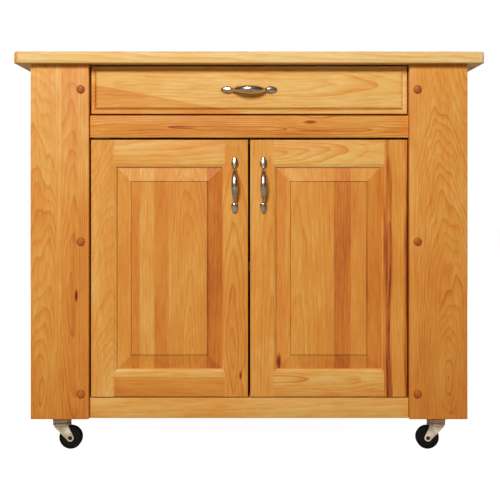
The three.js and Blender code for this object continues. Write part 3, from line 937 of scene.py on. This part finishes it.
def door_pieces():
    drawn = door_boards()
    half = 9.5 * MM
    for side, sign in SIDES:
        boards = drawn[side]
        stiles = []
        for piece, edge in (("stile_outer", sign), ("stile_inner", -sign)):
            node = f"door_{side}_{piece}"
            low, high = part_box(node)
            bm = frame_length(frame_section(STILE_WIDTH, half), low, high, (X, edge), Z)
            stiles.append(wooden(f"{node}_board", bm, Z, X, [low[X], high[X]], [boards[piece]],
                                 "front_wood", node))
        for piece, edge in (("rail_top", 1), ("rail_bottom", -1)):
            node = f"door_{side}_{piece}"
            low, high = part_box(node)
            section = frame_section(RAIL_WIDTH, half, 0.12 * MM)
            shoulder = Vector((GROOVE_DEPTH - STICKING - 0.4 * MM, 0, 0))
            rail = frame_length(section, low + shoulder, high - shoulder, (Z, edge), X)
            bm = coped(rail, stiles)
            steps, own = boards[piece]
            edges = [low[Z] + step * MM for step in steps]
            wooden(f"{node}_board", bm, X, Z, edges, own, "front_wood", node)
        node = f"door_{side}_panel"
        low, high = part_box(node)
        steps, own = boards["panel"]
        edges = [low[X] + step * MM for step in steps]
        # Painted shade: the quirk round the field and the panel's other steep faces are 0.3 darker.
        wooden(f"{node}_boards", panel_solid(low, high), Z, X, edges, own, "panel_wood", node,
               smooth_angle=5, painted_groove_shade=0.3)

# ---- Drawer -----------------------------------------------------------------------------


def drawer_front_solid(low, high):
    """Field, square shoulder, hollow and an outer lip, all round the drawer front."""
    lip, lip_drop, cove, shoulder, shoulder_drop = 4.5 * MM, 6 * MM, 8 * MM, 1.5 * MM, 1.2 * MM
    r = 1.6 * MM
    face, back = low[Y], high[Y]
    lip_y = face + lip_drop
    profile = [(r, back), (r * 0.3, back - r * 0.3), (0.0, back - r)]
    profile += [(r + x, lip_y + r + y) for x, y in arc((0, 0), r, 180, 270, 4)]
    top = face + shoulder_drop
    inner = lip + cove
    steps = 8
    for i in range(steps, -1, -1):
        turn = math.radians(90 * i / steps)
        profile.append((inner - cove * (1 - math.cos(turn)), top + (lip_y - top) * math.sin(turn)))
    profile += [(inner + shoulder, top), (inner + shoulder + 0.1 * MM, face + 0.35 * MM),
                (inner + shoulder + 0.45 * MM, face)]
    return stepped_solid(low, high, profile)


def drawer_front_piece():
    """One wide board, with a wedge of darker heartwood in its lower left corner."""
    low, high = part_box("drawer_front")
    middle = (low + high) / 2
    start = Vector((low[X] + 11 * MM, low[Y], high[Z] - 42 * MM))
    fall = 0.19
    bm = drawer_front_solid(low, high)
    geometry = [*bm.verts, *bm.edges, *bm.faces]
    bmesh.ops.bisect_plane(bm, geom=geometry, plane_co=start, plane_no=(fall, 0, 1), dist=1e-7)
    mesh = to_mesh(bm, "drawer_front_board")
    sapwood = Board(0.22, (0.012, 0.020, 0.07), 8, 34, 0.7, seed=22.4)
    heartwood = sapwood._replace(tone=0.41, contrast=0.5)

    def board_of(centre):
        under = centre[Z] < start[Z] - fall * (centre[X] - start[X])
        return (heartwood if under else sapwood), middle

    # Painted shade: the coves and other steep faces of the front are 0.12 darker.
    write_grain(mesh, X, Z, board_of, middle, 0.12)
    add_piece("drawer_front_board", mesh, wood_for("front_wood"), "drawer_front")


def drawer_pieces():
    drawer_front_piece()
    rng = random.Random(41)
    parts = (("drawer_side_left", Y, Z, 1.0), ("drawer_side_right", Y, Z, 1.0),
             ("drawer_box_front", X, Z, 1.0), ("drawer_back", X, Z, 1.0),
             ("drawer_bottom", X, Y, 0.25))
    for node, along, across, width in parts:
        board_piece(node, along, across, width, rng, 0.18, "cabinet_wood",
                    min(sizes().arris, 1.0 * MM))

# ---- Pulls ------------------------------------------------------------------------------

PULL_CENTRES = 96 * MM
PULL_SINK = 0.3 * MM

# Half of the bow, tip to middle: along, stand-off, half width and half thickness, in mm.
# Pointed foot flaring to its shoulder, thin neck, bead, then the swelling grip.
PULL_STATIONS = (
    (62.0, 2.2, 0.3, 0.3), (61.4, 2.3, 2.4, 1.4), (59.5, 2.6, 4.3, 2.2), (55.0, 3.0, 6.3, 2.9),
    (49.0, 3.4, 7.7, 3.4), (43.5, 3.6, 7.6, 3.5), (41.0, 3.9, 6.8, 3.4), (39.4, 4.4, 5.0, 2.9),
    (38.2, 5.3, 3.8, 2.6), (37.2, 6.8, 3.3, 2.5), (36.3, 8.0, 3.9, 3.1), (35.2, 9.4, 4.3, 3.4),
    (34.0, 10.9, 3.9, 3.0), (32.4, 12.4, 3.7, 2.8), (28.5, 16.2, 4.7, 3.2), (22.0, 20.2, 5.8, 3.6),
    (14.0, 23.4, 6.7, 4.1), (6.0, 25.0, 7.2, 4.4), (0.0, 25.4, 7.2, 4.5),
)


def smooth_between(before, start, end, after, t):
    """Point on a smooth curve from start to end that also respects the points around them."""
    return [
        0.5 * (2 * b + (c - a) * t + (2 * a - 5 * b + 4 * c - d) * t * t
               + (3 * b - a - 3 * c + d) * t ** 3)
        for a, b, c, d in zip(before, start, end, after)
    ]


def pull_solid(around=20, steps=3):
    """The bow along X, standing off towards -Y from a face at y = 0."""
    half = [(-s[0], *s[1:]) for s in PULL_STATIONS]
    full = half + [(-s[0], *s[1:]) for s in reversed(half[:-1])]
    padded = [full[0]] + full + [full[-1]]
    stations = []
    for i in range(1, len(padded) - 2):
        for k in range(steps):
            stations.append(smooth_between(*padded[i - 1:i + 3], k / steps))
    stations.append(full[-1])
    rings = []
    for i, (along, off, width, thick) in enumerate(stations):
        before = stations[max(i - 1, 0)]
        after = stations[min(i + 1, len(stations) - 1)]
        run, rise = after[0] - before[0], after[1] - before[1]
        scale = math.hypot(run, rise)
        ring = []
        for j in range(around):
            turn = math.tau * j / around
            out = -max(thick, 0.2) * math.sin(turn)
            side = max(width, 0.3) * math.cos(turn)
            x = along + out * rise / scale
            y = min(-off + out * run / scale, -0.15)
            ring.append((x * MM, y * MM, side * MM))
        rings.append(ring)
    return loft(rings)


def pull_pieces():
    for node, axis in (("drawer_pull", None), ("door_left_pull", "Y"), ("door_right_pull", "Y")):
        low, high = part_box(node)
        centre = (low + high) / 2
        centre[Y] = high[Y] + PULL_SINK
        bow = move(pull_solid(), centre, axis)
        add_piece(f"{node}_bow", to_mesh(bow, node, 50), satin_nickel(), node)

# ---- Casters ----------------------------------------------------------------------------

CHEEK_INNER = 12.5 * MM
CHEEK_OUTER = 14.5 * MM
FORK_CROWN = 52 * MM
WHEEL_BORE = 4.3 * MM


def caster_cheek(trail, axle, top, width):
    """Outline of one cheek of the fork in its own plane: along the trail, and up."""
    tip = 8 * MM
    lower = top - 5 * MM
    back = -width + 5.5 * MM
    return ([(back, top), (back + 0.5 * MM, lower)]
            + arc((trail, axle), tip, 225, 369, 12)
            + [(width - 4 * MM, lower), (width - 5.5 * MM, top)])


def fork_solid(trail, axle, crown_top, radius):
    """Crown with a raised lower race, two pressed cheeks and the axle between them."""
    crown_low = FORK_CROWN
    hole = 4.4 * MM
    r = 1.8 * MM
    profile = [(hole, crown_low)]
    profile += arc((radius - r, crown_low + r), r, 270, 360, 4)
    profile += arc((radius - r - 0.5 * MM, crown_top - r), r, 0, 90, 4)
    profile += [(radius - 5 * MM, crown_top), (radius - 6 * MM, crown_top - 0.8 * MM),
                (hole, crown_top - 0.8 * MM)]
    bm = turned(profile, 48, closed=True)
    sign = 1 if trail > 0 else -1
    outline = caster_cheek(abs(trail), axle, crown_low + 2 * MM, radius)
    for face in (-1, 1):
        cheek = loft([[(sign * x, face * y, z) for x, z in outline]
                      for y in (CHEEK_INNER, CHEEK_OUTER)])
        ease_edges(cheek, 0.45 * MM, 2, 60)
        merge(bm, cheek)
    spindle = turned(mm((0, -14), (4, -14), (4, 14), (0, 14)), 24)
    return merge(bm, move(spindle, (trail, 0, axle), "X"))


def rivet_shape():
    """Rolled end of the hollow axle."""
    profile = mm((0, -0.2), (4.2, -0.2), (4.4, 0.6), (3.4, 1.5), (2.0, 1.5), (1.5, 0.9), (0, 0.8))
    return to_mesh(turned(profile, 24), "rivet", 50)


def wheel_solid(radius, width, bore):
    """Wheel about Z: rounded tread, flush rim, dished web and hub."""
    half = width / 2
    r = 3 * MM
    rim = radius - 5 * MM
    hub = bore + 4.5 * MM
    dish = 1.6 * MM
    upper = arc((radius - r, half - r), r, 0, 80, 6)
    upper += [(rim, half), (rim - 0.8 * MM, half - dish), (hub + 1.2 * MM, half - dish),
              (hub, half - 0.2 * MM), (hub - 0.5 * MM, half), (bore, half)]
    lower = [(x, -y) for x, y in reversed(upper)]
    return turned(lower + upper, 72, closed=True)


def stem_solid(low, high):
    """Threaded stem, collar and the upper race with its rolled rim."""
    radius = (high[X] - low[X]) / 2
    race_low, race_high = 59.3 * MM, 68 * MM
    collar_top = 74.7 * MM
    r = 2.6 * MM
    profile = [(0, low[Z]), (5.5 * MM, low[Z]), (7 * MM, low[Z] + 1.2 * MM), (7 * MM, 51.7 * MM),
               (4 * MM, 51.7 * MM), (4 * MM, race_low + 0.8 * MM), (radius - 6 * MM, race_low + 0.8 * MM),
               (radius - 5 * MM, race_low)]
    profile += arc((radius - r, race_low + r), r, 270, 360, 5)
    profile += arc((radius - r, race_high - r), r, 0, 80, 5)
    profile += [(11 * MM, race_high), (9 * MM, race_high + 1.5 * MM), (9 * MM, collar_top)]
    stem = 5.5 * MM
    pitch = 1.75 * MM
    turns = int((high[Z] - collar_top) / pitch) - 1
    for i in range(turns):
        start = collar_top + i * pitch
        profile += [(stem - 0.7 * MM, start), (stem, start + pitch / 2)]
    profile += [(stem - 1.2 * MM, high[Z]), (0, high[Z])]
    return turned(profile, 40)


def caster_pieces():
    for corner, _, _ in CORNERS:
        stem_node, fork_node, wheel_node = (f"caster_{part}_{corner}"
                                            for part in ("stem", "fork", "wheel"))
        low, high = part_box(stem_node)
        swivel = (low + high) / 2
        swivel[Z] = 0
        stem = move(stem_solid(low, high), swivel)
        add_piece(f"caster_race_{corner}", to_mesh(stem, "race", 40), caster_steel(),
                  stem_node)
        wheel_low, wheel_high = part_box(wheel_node)
        wheel = (wheel_low + wheel_high) / 2
        fork_low, fork_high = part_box(fork_node)
        fork = fork_solid(wheel[X] - swivel[X], wheel[Z], fork_high[Z],
                          (fork_high[Y] - fork_low[Y]) / 2)
        move(fork, swivel)
        add_piece(f"caster_cheeks_{corner}", to_mesh(fork, "fork", 40), caster_steel(),
                  fork_node)
        ends = [(wheel + Vector((0, face * CHEEK_OUTER, 0)), (0, face, 0)) for face in (-1, 1)]
        fasteners(f"axle_ends_{corner}", rivet_shape(), ends, blackened_steel(), fork_node,
                  5)
        span = wheel_high - wheel_low
        tread = wheel_solid(span[X] / 2, span[Y], WHEEL_BORE)
        add_piece(f"caster_tread_{corner}", to_mesh(move(tread, wheel, "X"), "wheel", 40),
                  wheel_tread(), wheel_node)


# ---- Repeated fasteners, by geometry nodes ----------------------------------------------


def fastener_tree():
    """Puts one fastener on each point, facing its own way and spun at random."""
    existing = bpy.data.node_groups.get("Fasteners On Points")
    if existing:
        return existing
    tree = bpy.data.node_groups.new("Fasteners On Points", "GeometryNodeTree")
    sockets = (("Points", "Geometry"), ("Fastener", "Object"), ("Finish", "Material"),
               ("Scale", "Float"), ("Spin", "Float"), ("Seed", "Int"))
    for name, kind in sockets:
        tree.interface.new_socket(name, in_out="INPUT", socket_type=f"NodeSocket{kind}")
    tree.interface.new_socket("Result", in_out="OUTPUT", socket_type="NodeSocketGeometry")
    n = Nodes(tree)
    given = n.add("NodeGroupInput").outputs
    facing = n.add("GeometryNodeInputNamedAttribute", {"Name": "facing"}, data_type="FLOAT_VECTOR")
    aligned = n.add("FunctionNodeAlignRotationToVector", {"Vector": facing.outputs[0]}, axis="Z")
    angle = n.add("FunctionNodeRandomValue", data_type="FLOAT")
    used = [s for s in angle.inputs if s.enabled]
    n.feed(used[0], 0.0)
    n.feed(used[1], given["Spin"])
    n.feed(angle.inputs["Seed"], given["Seed"])
    turn = next(s for s in angle.outputs if s.enabled)
    own_turn = n.add("FunctionNodeEulerToRotation", {0: n.join(0.0, 0.0, turn)}).outputs[0]
    spun = n.add("FunctionNodeRotateRotation", {"Rotation": aligned.outputs[0],
                                                "Rotate By": own_turn}, rotation_space="LOCAL")
    shape = n.add("GeometryNodeObjectInfo", {"Object": given["Fastener"]})
    placed = n.add("GeometryNodeInstanceOnPoints", {
        "Points": given["Points"], "Instance": shape.outputs["Geometry"],
        "Rotation": spun.outputs[0], "Scale": given["Scale"]})
    real = n.add("GeometryNodeRealizeInstances", {0: placed.outputs[0]})
    coated = n.add("GeometryNodeSetMaterial", {"Geometry": real.outputs[0], "Material": given["Finish"]})
    n.add("NodeGroupOutput", {"Result": coated.outputs[0]})
    return tree


def fasteners(name, shape, places, material, body, seed, spin=math.tau):
    """places lists (point, the way it faces). The result is one plain mesh."""
    tree = fastener_tree()
    points = bpy.data.meshes.new(name)
    points.from_pydata([point for point, _ in places], [], [])
    facing = points.attributes.new("facing", "FLOAT_VECTOR", "POINT")
    facing.data.foreach_set("vector", [c for _, way in places for c in way])
    holder = new_object(name, points)
    model = new_object("fastener_model", shape)
    modifier = holder.modifiers.new("fasteners", "NODES")
    modifier.node_group = tree
    by_name = {item.name: item.identifier for item in tree.interface.items_tree
               if item.in_out == "INPUT"}
    for key, value in (("Fastener", model), ("Finish", material), ("Scale", 1.0),
                       ("Spin", spin), ("Seed", seed)):
        modifier[by_name[key]] = value
    mesh = smoothed(evaluated_mesh(holder), 35)
    bpy.data.objects.remove(model)
    add_piece(name, mesh, None, body=body)


def button_shape():
    """A low turned dome with a small foot."""
    s = sizes()
    rise, radius = s.button_rise, s.button
    profile = [(0, -0.0002), (radius - 0.0006, -0.0002), (radius, 0.0004)]
    steps = 7
    for i in range(1, steps + 1):
        turn = math.radians(90 * i / steps)
        profile.append((radius * math.cos(turn), 0.0008 + (rise - 0.0008) * math.sin(turn)))
    profile[-1] = (0, rise)
    return to_mesh(turned(profile, 28), "button")


def screw_shape():
    """Pan head with a cross recess cut as four dimples round its middle."""
    radius = sizes().screw_head
    shares = ((0, -0.2), (1, -0.2), (1, 0.6), (0.93, 1.3), (0.7, 1.8), (0.5, 2.0), (0.42, 2.0),
              (0.16, 0.9), (0, 0.9))
    bm = turned([(radius * share, height * MM) for share, height in shares], 16)
    for vertex in bm.verts:
        reach = math.hypot(vertex.co.x, vertex.co.y)
        if 0.3 * radius < reach < 0.45 * radius:
            quarter = round(math.atan2(vertex.co.y, vertex.co.x) / (math.pi / 8)) % 4
            if quarter:
                vertex.co.x *= 0.45
                vertex.co.y *= 0.45
    return to_mesh(bm, "screw")


def pin_shape():
    """A shelf pin: a round peg out of the partition and a spoon under the shelf."""
    peg = turned(mm((0, 0), (2.5, 0), (2.5, 7), (2.2, 7.6), (0, 7.8)), 20)
    flange = turned(mm((0, -0.2), (4.5, -0.2), (4.5, 0.9), (4.1, 1.3), (0, 1.3)), 20)
    return to_mesh(merge(peg, flange), "pin")


BUTTON_INSET = 17.5 * MM
BUTTON_FOOT = 10.9 * MM


def button_places():
    """Near each post's inner edge, at three heights."""
    places = []
    drawer_low, drawer_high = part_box("drawer_front")
    top = (drawer_low[Z] + drawer_high[Z]) / 2
    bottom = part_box("base_rail")[1][Z] + BUTTON_FOOT
    for corner, sign, depth in CORNERS:
        low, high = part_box(f"post_{corner}")
        inner = inner_face(f"post_{corner}", sign)
        face = low[Y] if depth < 0 else high[Y]
        for height in (top, (top + bottom) / 2, bottom):
            places.append(((inner + sign * BUTTON_INSET, face, height), (0, depth, 0)))
    return places


def button_pieces():
    fasteners("post_buttons", button_shape(), button_places(), turned_wood(), "cabinet",
              3)


def screw_places():
    """Screws of the pulls, the slides, the catch and the back panel."""
    places = {"cabinet": [], "drawer": [], "door_left": [], "door_right": []}
    pull_screws = (-PULL_CENTRES / 2, PULL_CENTRES / 2)
    for side, _ in SIDES:
        low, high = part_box(f"door_{side}_pull")
        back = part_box(f"door_{side}_stile_inner")[1][Y]
        x, _, z = (low + high) / 2
        places[f"door_{side}"] = [((x, back, z + offset), (0, 1, 0)) for offset in pull_screws]
    low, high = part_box("drawer_box_front")
    z = (low[Z] + high[Z]) / 2
    places["drawer"] = [((offset, high[Y], z), (0, 1, 0)) for offset in pull_screws]
    web = 1.2 * MM
    for side, sign in SIDES:
        low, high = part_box(f"slide_inner_{side}")
        x = inner_face(f"slide_inner_{side}", sign) + sign * web
        z = (low[Z] + high[Z]) / 2
        places["drawer"] += [((x, low[Y] + share * (high[Y] - low[Y]), z), (sign, 0, 0))
                             for share in (0.05, 0.35, 0.9)]
    low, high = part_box("magnetic_catch")
    y = (low[Y] + high[Y]) / 2
    places["cabinet"] = [((offset, y, low[Z]), (0, 0, -1)) for offset in (-14 * MM, 14 * MM)]
    low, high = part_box("back_panel")
    rows, from_side, from_end = 5, 12 * MM, 30 * MM
    for row in range(rows):
        z = low[Z] + from_end + row * (high[Z] - low[Z] - 2 * from_end) / (rows - 1)
        for x in (low[X] + from_side, high[X] - from_side):
            places["cabinet"].append(((x, high[Y], z), (0, 1, 0)))
    return places


def screw_pieces():
    for body, places in screw_places().items():
        fasteners(f"screws_{body}", screw_shape(), places, zinc_plate(), body, 7)


def shelf_pin_pieces():
    low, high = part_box("shelf")
    from_edge, below = 60 * MM, 2.8 * MM
    pins = []
    for side, sign in SIDES:
        wall = inner_face(f"partition_{side}", sign)
        pins += [((wall, y, low[Z] - below), (-sign, 0, 0))
                 for y in (low[Y] + from_edge, high[Y] - from_edge)]
    fasteners("shelf_pins", pin_shape(), pins, zinc_plate(), "cabinet", 9, spin=0.0)

# ---- Steelwork and caster rails ---------------------------------------------------------


def strike_pieces():
    """Thin steel plates on the doors' backs that meet the catch."""
    catch_low, catch_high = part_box("magnetic_catch")
    for side, sign in SIDES:
        stile = f"door_{side}_stile_inner"
        stile_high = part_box(stile)[1]
        near = inner_face(stile, sign)
        x = sorted((near + sign * 2.5 * MM, near + sign * 18 * MM))
        low = (x[0], stile_high[Y] - 0.1 * MM, catch_low[Z] + 1 * MM)
        high = (x[1], stile_high[Y] + 1.0 * MM, min(catch_high[Z], stile_high[Z]) - 2 * MM)
        bm = box_solid(low, high)
        ease_edges(bm, 0.3 * MM, 2)
        add_piece(f"strike_{side}", to_mesh(bm, "strike"), zinc_plate(),
                  body=f"door_{side}")


def recoat_steel():
    """Slides, door pivots and the catch keep their own solids and get a plated finish."""
    finishes = {"magnetic_catch": blackened_steel()}
    for side, _ in SIDES:
        for member in ("outer", "middle", "inner"):
            finishes[f"slide_{member}_{side}"] = zinc_plate()
        for level in ("lower", "upper"):
            finishes[f"pivot_{level}_{side}"] = blackened_steel()
    for node, finish in finishes.items():
        mesh = frame["nodes"][node].data
        mesh.materials.clear()
        mesh.materials.append(finish)


def caster_rail_pieces():
    """Rails over the casters: the same bored solids with their grain along Y."""
    rng = random.Random(57)
    for side, _ in SIDES:
        node = f"caster_rail_{side}"
        bm = bmesh.new()
        bm.from_mesh(frame["nodes"][node].data)
        bmesh.ops.remove_doubles(bm, verts=bm.verts, dist=1e-6)
        low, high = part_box(node)
        wooden(f"{node}_board", bm, Y, X, [low[X], high[X]], [random_board(rng, 0.25)],
               "cabinet_wood", node)

# ---- Stage ------------------------------------------------------------------------------


def area_light(name, place, target, size, power, tint=(1.0, 1.0, 1.0)):
    data = bpy.data.lights.new(name, "AREA")
    data.shape = "RECTANGLE"
    data.size, data.size_y = size
    data.energy = power
    data.color = tint
    light = new_object(name, data)
    light.location = place
    light.rotation_euler = (Vector(target) - Vector(place)).to_track_quat("-Z", "Y").to_euler()


def studio_floor():
    half = 14.0
    mesh = bpy.data.meshes.new("studio_floor")
    corners = [(-half, -half, 0), (half, -half, 0), (half, half, 0), (-half, half, 0)]
    mesh.from_pydata(corners, [], [(0, 1, 2, 3)])

    def build(n):
        paper = n.noise(object_place(n), 3.0, detail=2.0).outputs[0]
        seen = n.add("ShaderNodeLightPath").outputs["Is Camera Ray"]
        return {
            "Base_Color": n.ramp(paper, [(0.0, colours().floor), (1.0, toned(colours().floor, 0.94))]),
            "Roughness": 0.9,
            "Emission_Color": (1.0, 1.0, 1.0, 1.0),
            "Emission_Strength": n.times(seen, 0.98),
        }

    mesh.materials.append(finish("studio_floor", build))
    new_object("studio_floor", mesh)


def studio_world():
    """White where it is seen, and a faint warm fill for what it lights."""
    world = bpy.data.worlds.new("studio")
    bpy.context.scene.world = world
    world.use_nodes = True
    n = Nodes(world.node_tree)
    background = world.node_tree.nodes["Background"]
    seen = n.add("ShaderNodeLightPath").outputs["Is Camera Ray"]
    strength = n.math("MULTIPLY_ADD", seen, 0.94, 0.11)
    n.feed(background.inputs["Strength"], strength)
    tint = n.add("ShaderNodeMix", {0: seen, 6: (1.0, 0.42, 0.30, 1.0), 7: (1.0, 1.0, 1.0, 1.0)},
                 data_type="RGBA")
    n.feed(background.inputs["Color"], tint.outputs[2])


def camera():
    data = bpy.data.cameras.new("camera")
    data.sensor_width = 36
    data.lens = 79.2
    data.shift_y = -0.12
    made = new_object("camera", data)
    made.location = (0.002, -2.6975, 0.5756)
    made.rotation_euler = (math.pi / 2, 0, 0)
    bpy.context.scene.camera = made


def stage_set():
    camera()
    studio_floor()
    studio_world()
    target = (0.0, -0.3, 0.45)
    area_light("key", (-0.75, -4.15, 2.73), target, (1.2, 1.2), 181, (1.0, 0.985, 0.97))
    area_light("left", (-3.0, 1.2, 1.8), target, (1.2, 1.8), 45)
    area_light("right", (3.0, 1.2, 1.8), target, (1.2, 1.8), 45)
    area_light("back", (0.8, 3.4, 1.9), target, (1.6, 1.6), 60)
    bpy.context.scene.view_settings.view_transform = "Standard"

# ---- Operators --------------------------------------------------------------------------


class TABLE_OT_stage(bpy.types.Operator):
    """Set the camera, the lights and the pale floor"""

    bl_idname = "table.stage"
    bl_label = "Stage"

    def execute(self, context):
        stage_set()
        return {"FINISHED"}


class TABLE_OT_slab(bpy.types.Operator):
    """Glue up the butcher block slab from staves"""

    bl_idname = "table.slab"
    bl_label = "Slab"

    def execute(self, context):
        slab_pieces()
        return {"FINISHED"}


class TABLE_OT_posts_and_rails(bpy.types.Operator):
    """Make the corner posts and the front rails"""

    bl_idname = "table.posts_and_rails"
    bl_label = "Posts and Rails"

    def execute(self, context):
        post_pieces()
        rail_pieces()
        return {"FINISHED"}


class TABLE_OT_carcass(bpy.types.Operator):
    """Make the panels, shelf and stretchers of the cabinet"""

    bl_idname = "table.carcass"
    bl_label = "Carcass"

    def execute(self, context):
        carcass_pieces()
        caster_rail_pieces()
        return {"FINISHED"}


class TABLE_OT_doors(bpy.types.Operator):
    """Make the two frame-and-panel doors"""

    bl_idname = "table.doors"
    bl_label = "Doors"

    def execute(self, context):
        door_pieces()
        return {"FINISHED"}


class TABLE_OT_drawer(bpy.types.Operator):
    """Make the drawer front and its box"""

    bl_idname = "table.drawer"
    bl_label = "Drawer"

    def execute(self, context):
        drawer_pieces()
        return {"FINISHED"}


class TABLE_OT_pulls(bpy.types.Operator):
    """Cast the three bow pulls"""

    bl_idname = "table.pulls"
    bl_label = "Pulls"

    def execute(self, context):
        pull_pieces()
        return {"FINISHED"}


class TABLE_OT_casters(bpy.types.Operator):
    """Make the races, forks and wheels of the casters"""

    bl_idname = "table.casters"
    bl_label = "Casters"

    def execute(self, context):
        caster_pieces()
        return {"FINISHED"}


class TABLE_OT_fasteners(bpy.types.Operator):
    """Set the wooden buttons, the screws and the shelf pins"""

    bl_idname = "table.fasteners"
    bl_label = "Buttons, Screws and Pins"

    def execute(self, context):
        button_pieces()
        screw_pieces()
        shelf_pin_pieces()
        return {"FINISHED"}


class TABLE_OT_steelwork(bpy.types.Operator):
    """Plate the slides, door pivots and catch, and fit the strikes"""

    bl_idname = "table.steelwork"
    bl_label = "Slides, Pivots and Catch"

    def execute(self, context):
        recoat_steel()
        strike_pieces()
        return {"FINISHED"}


OPERATORS = (
    TABLE_OT_stage,
    TABLE_OT_slab,
    TABLE_OT_posts_and_rails,
    TABLE_OT_carcass,
    TABLE_OT_doors,
    TABLE_OT_drawer,
    TABLE_OT_pulls,
    TABLE_OT_casters,
    TABLE_OT_fasteners,
    TABLE_OT_steelwork,
)


class TABLE_PT_build(bpy.types.Panel):
    """Sizes, colours and the build steps"""

    bl_idname = "TABLE_PT_build"
    bl_label = "Butcher Block Table"
    bl_space_type = "VIEW_3D"
    bl_region_type = "UI"
    bl_category = "Table"

    def draw(self, context):
        for settings in (context.scene.table_sizes, context.scene.table_colours):
            column = self.layout.column()
            for name in settings.__annotations__:
                column.prop(settings, name)
        for operator in OPERATORS:
            self.layout.operator(operator.bl_idname)


CLASSES = (TableSizes, TableColours, *OPERATORS, TABLE_PT_build)


def register():
    for cls in CLASSES:
        bpy.utils.register_class(cls)
    bpy.types.Scene.table_sizes = bpy.props.PointerProperty(type=TableSizes)
    bpy.types.Scene.table_colours = bpy.props.PointerProperty(type=TableColours)


def unregister():
    del bpy.types.Scene.table_colours
    del bpy.types.Scene.table_sizes
    for cls in reversed(CLASSES):
        bpy.utils.unregister_class(cls)


def main():
    register()
    bpy.ops.table.stage()
    bpy.ops.table.slab()
    bpy.ops.table.posts_and_rails()
    bpy.ops.table.carcass()
    bpy.ops.table.doors()
    bpy.ops.table.drawer()
    bpy.ops.table.pulls()
    bpy.ops.table.casters()
    bpy.ops.table.fasteners()
    bpy.ops.table.steelwork()


if __name__ == "__main__":
    main()
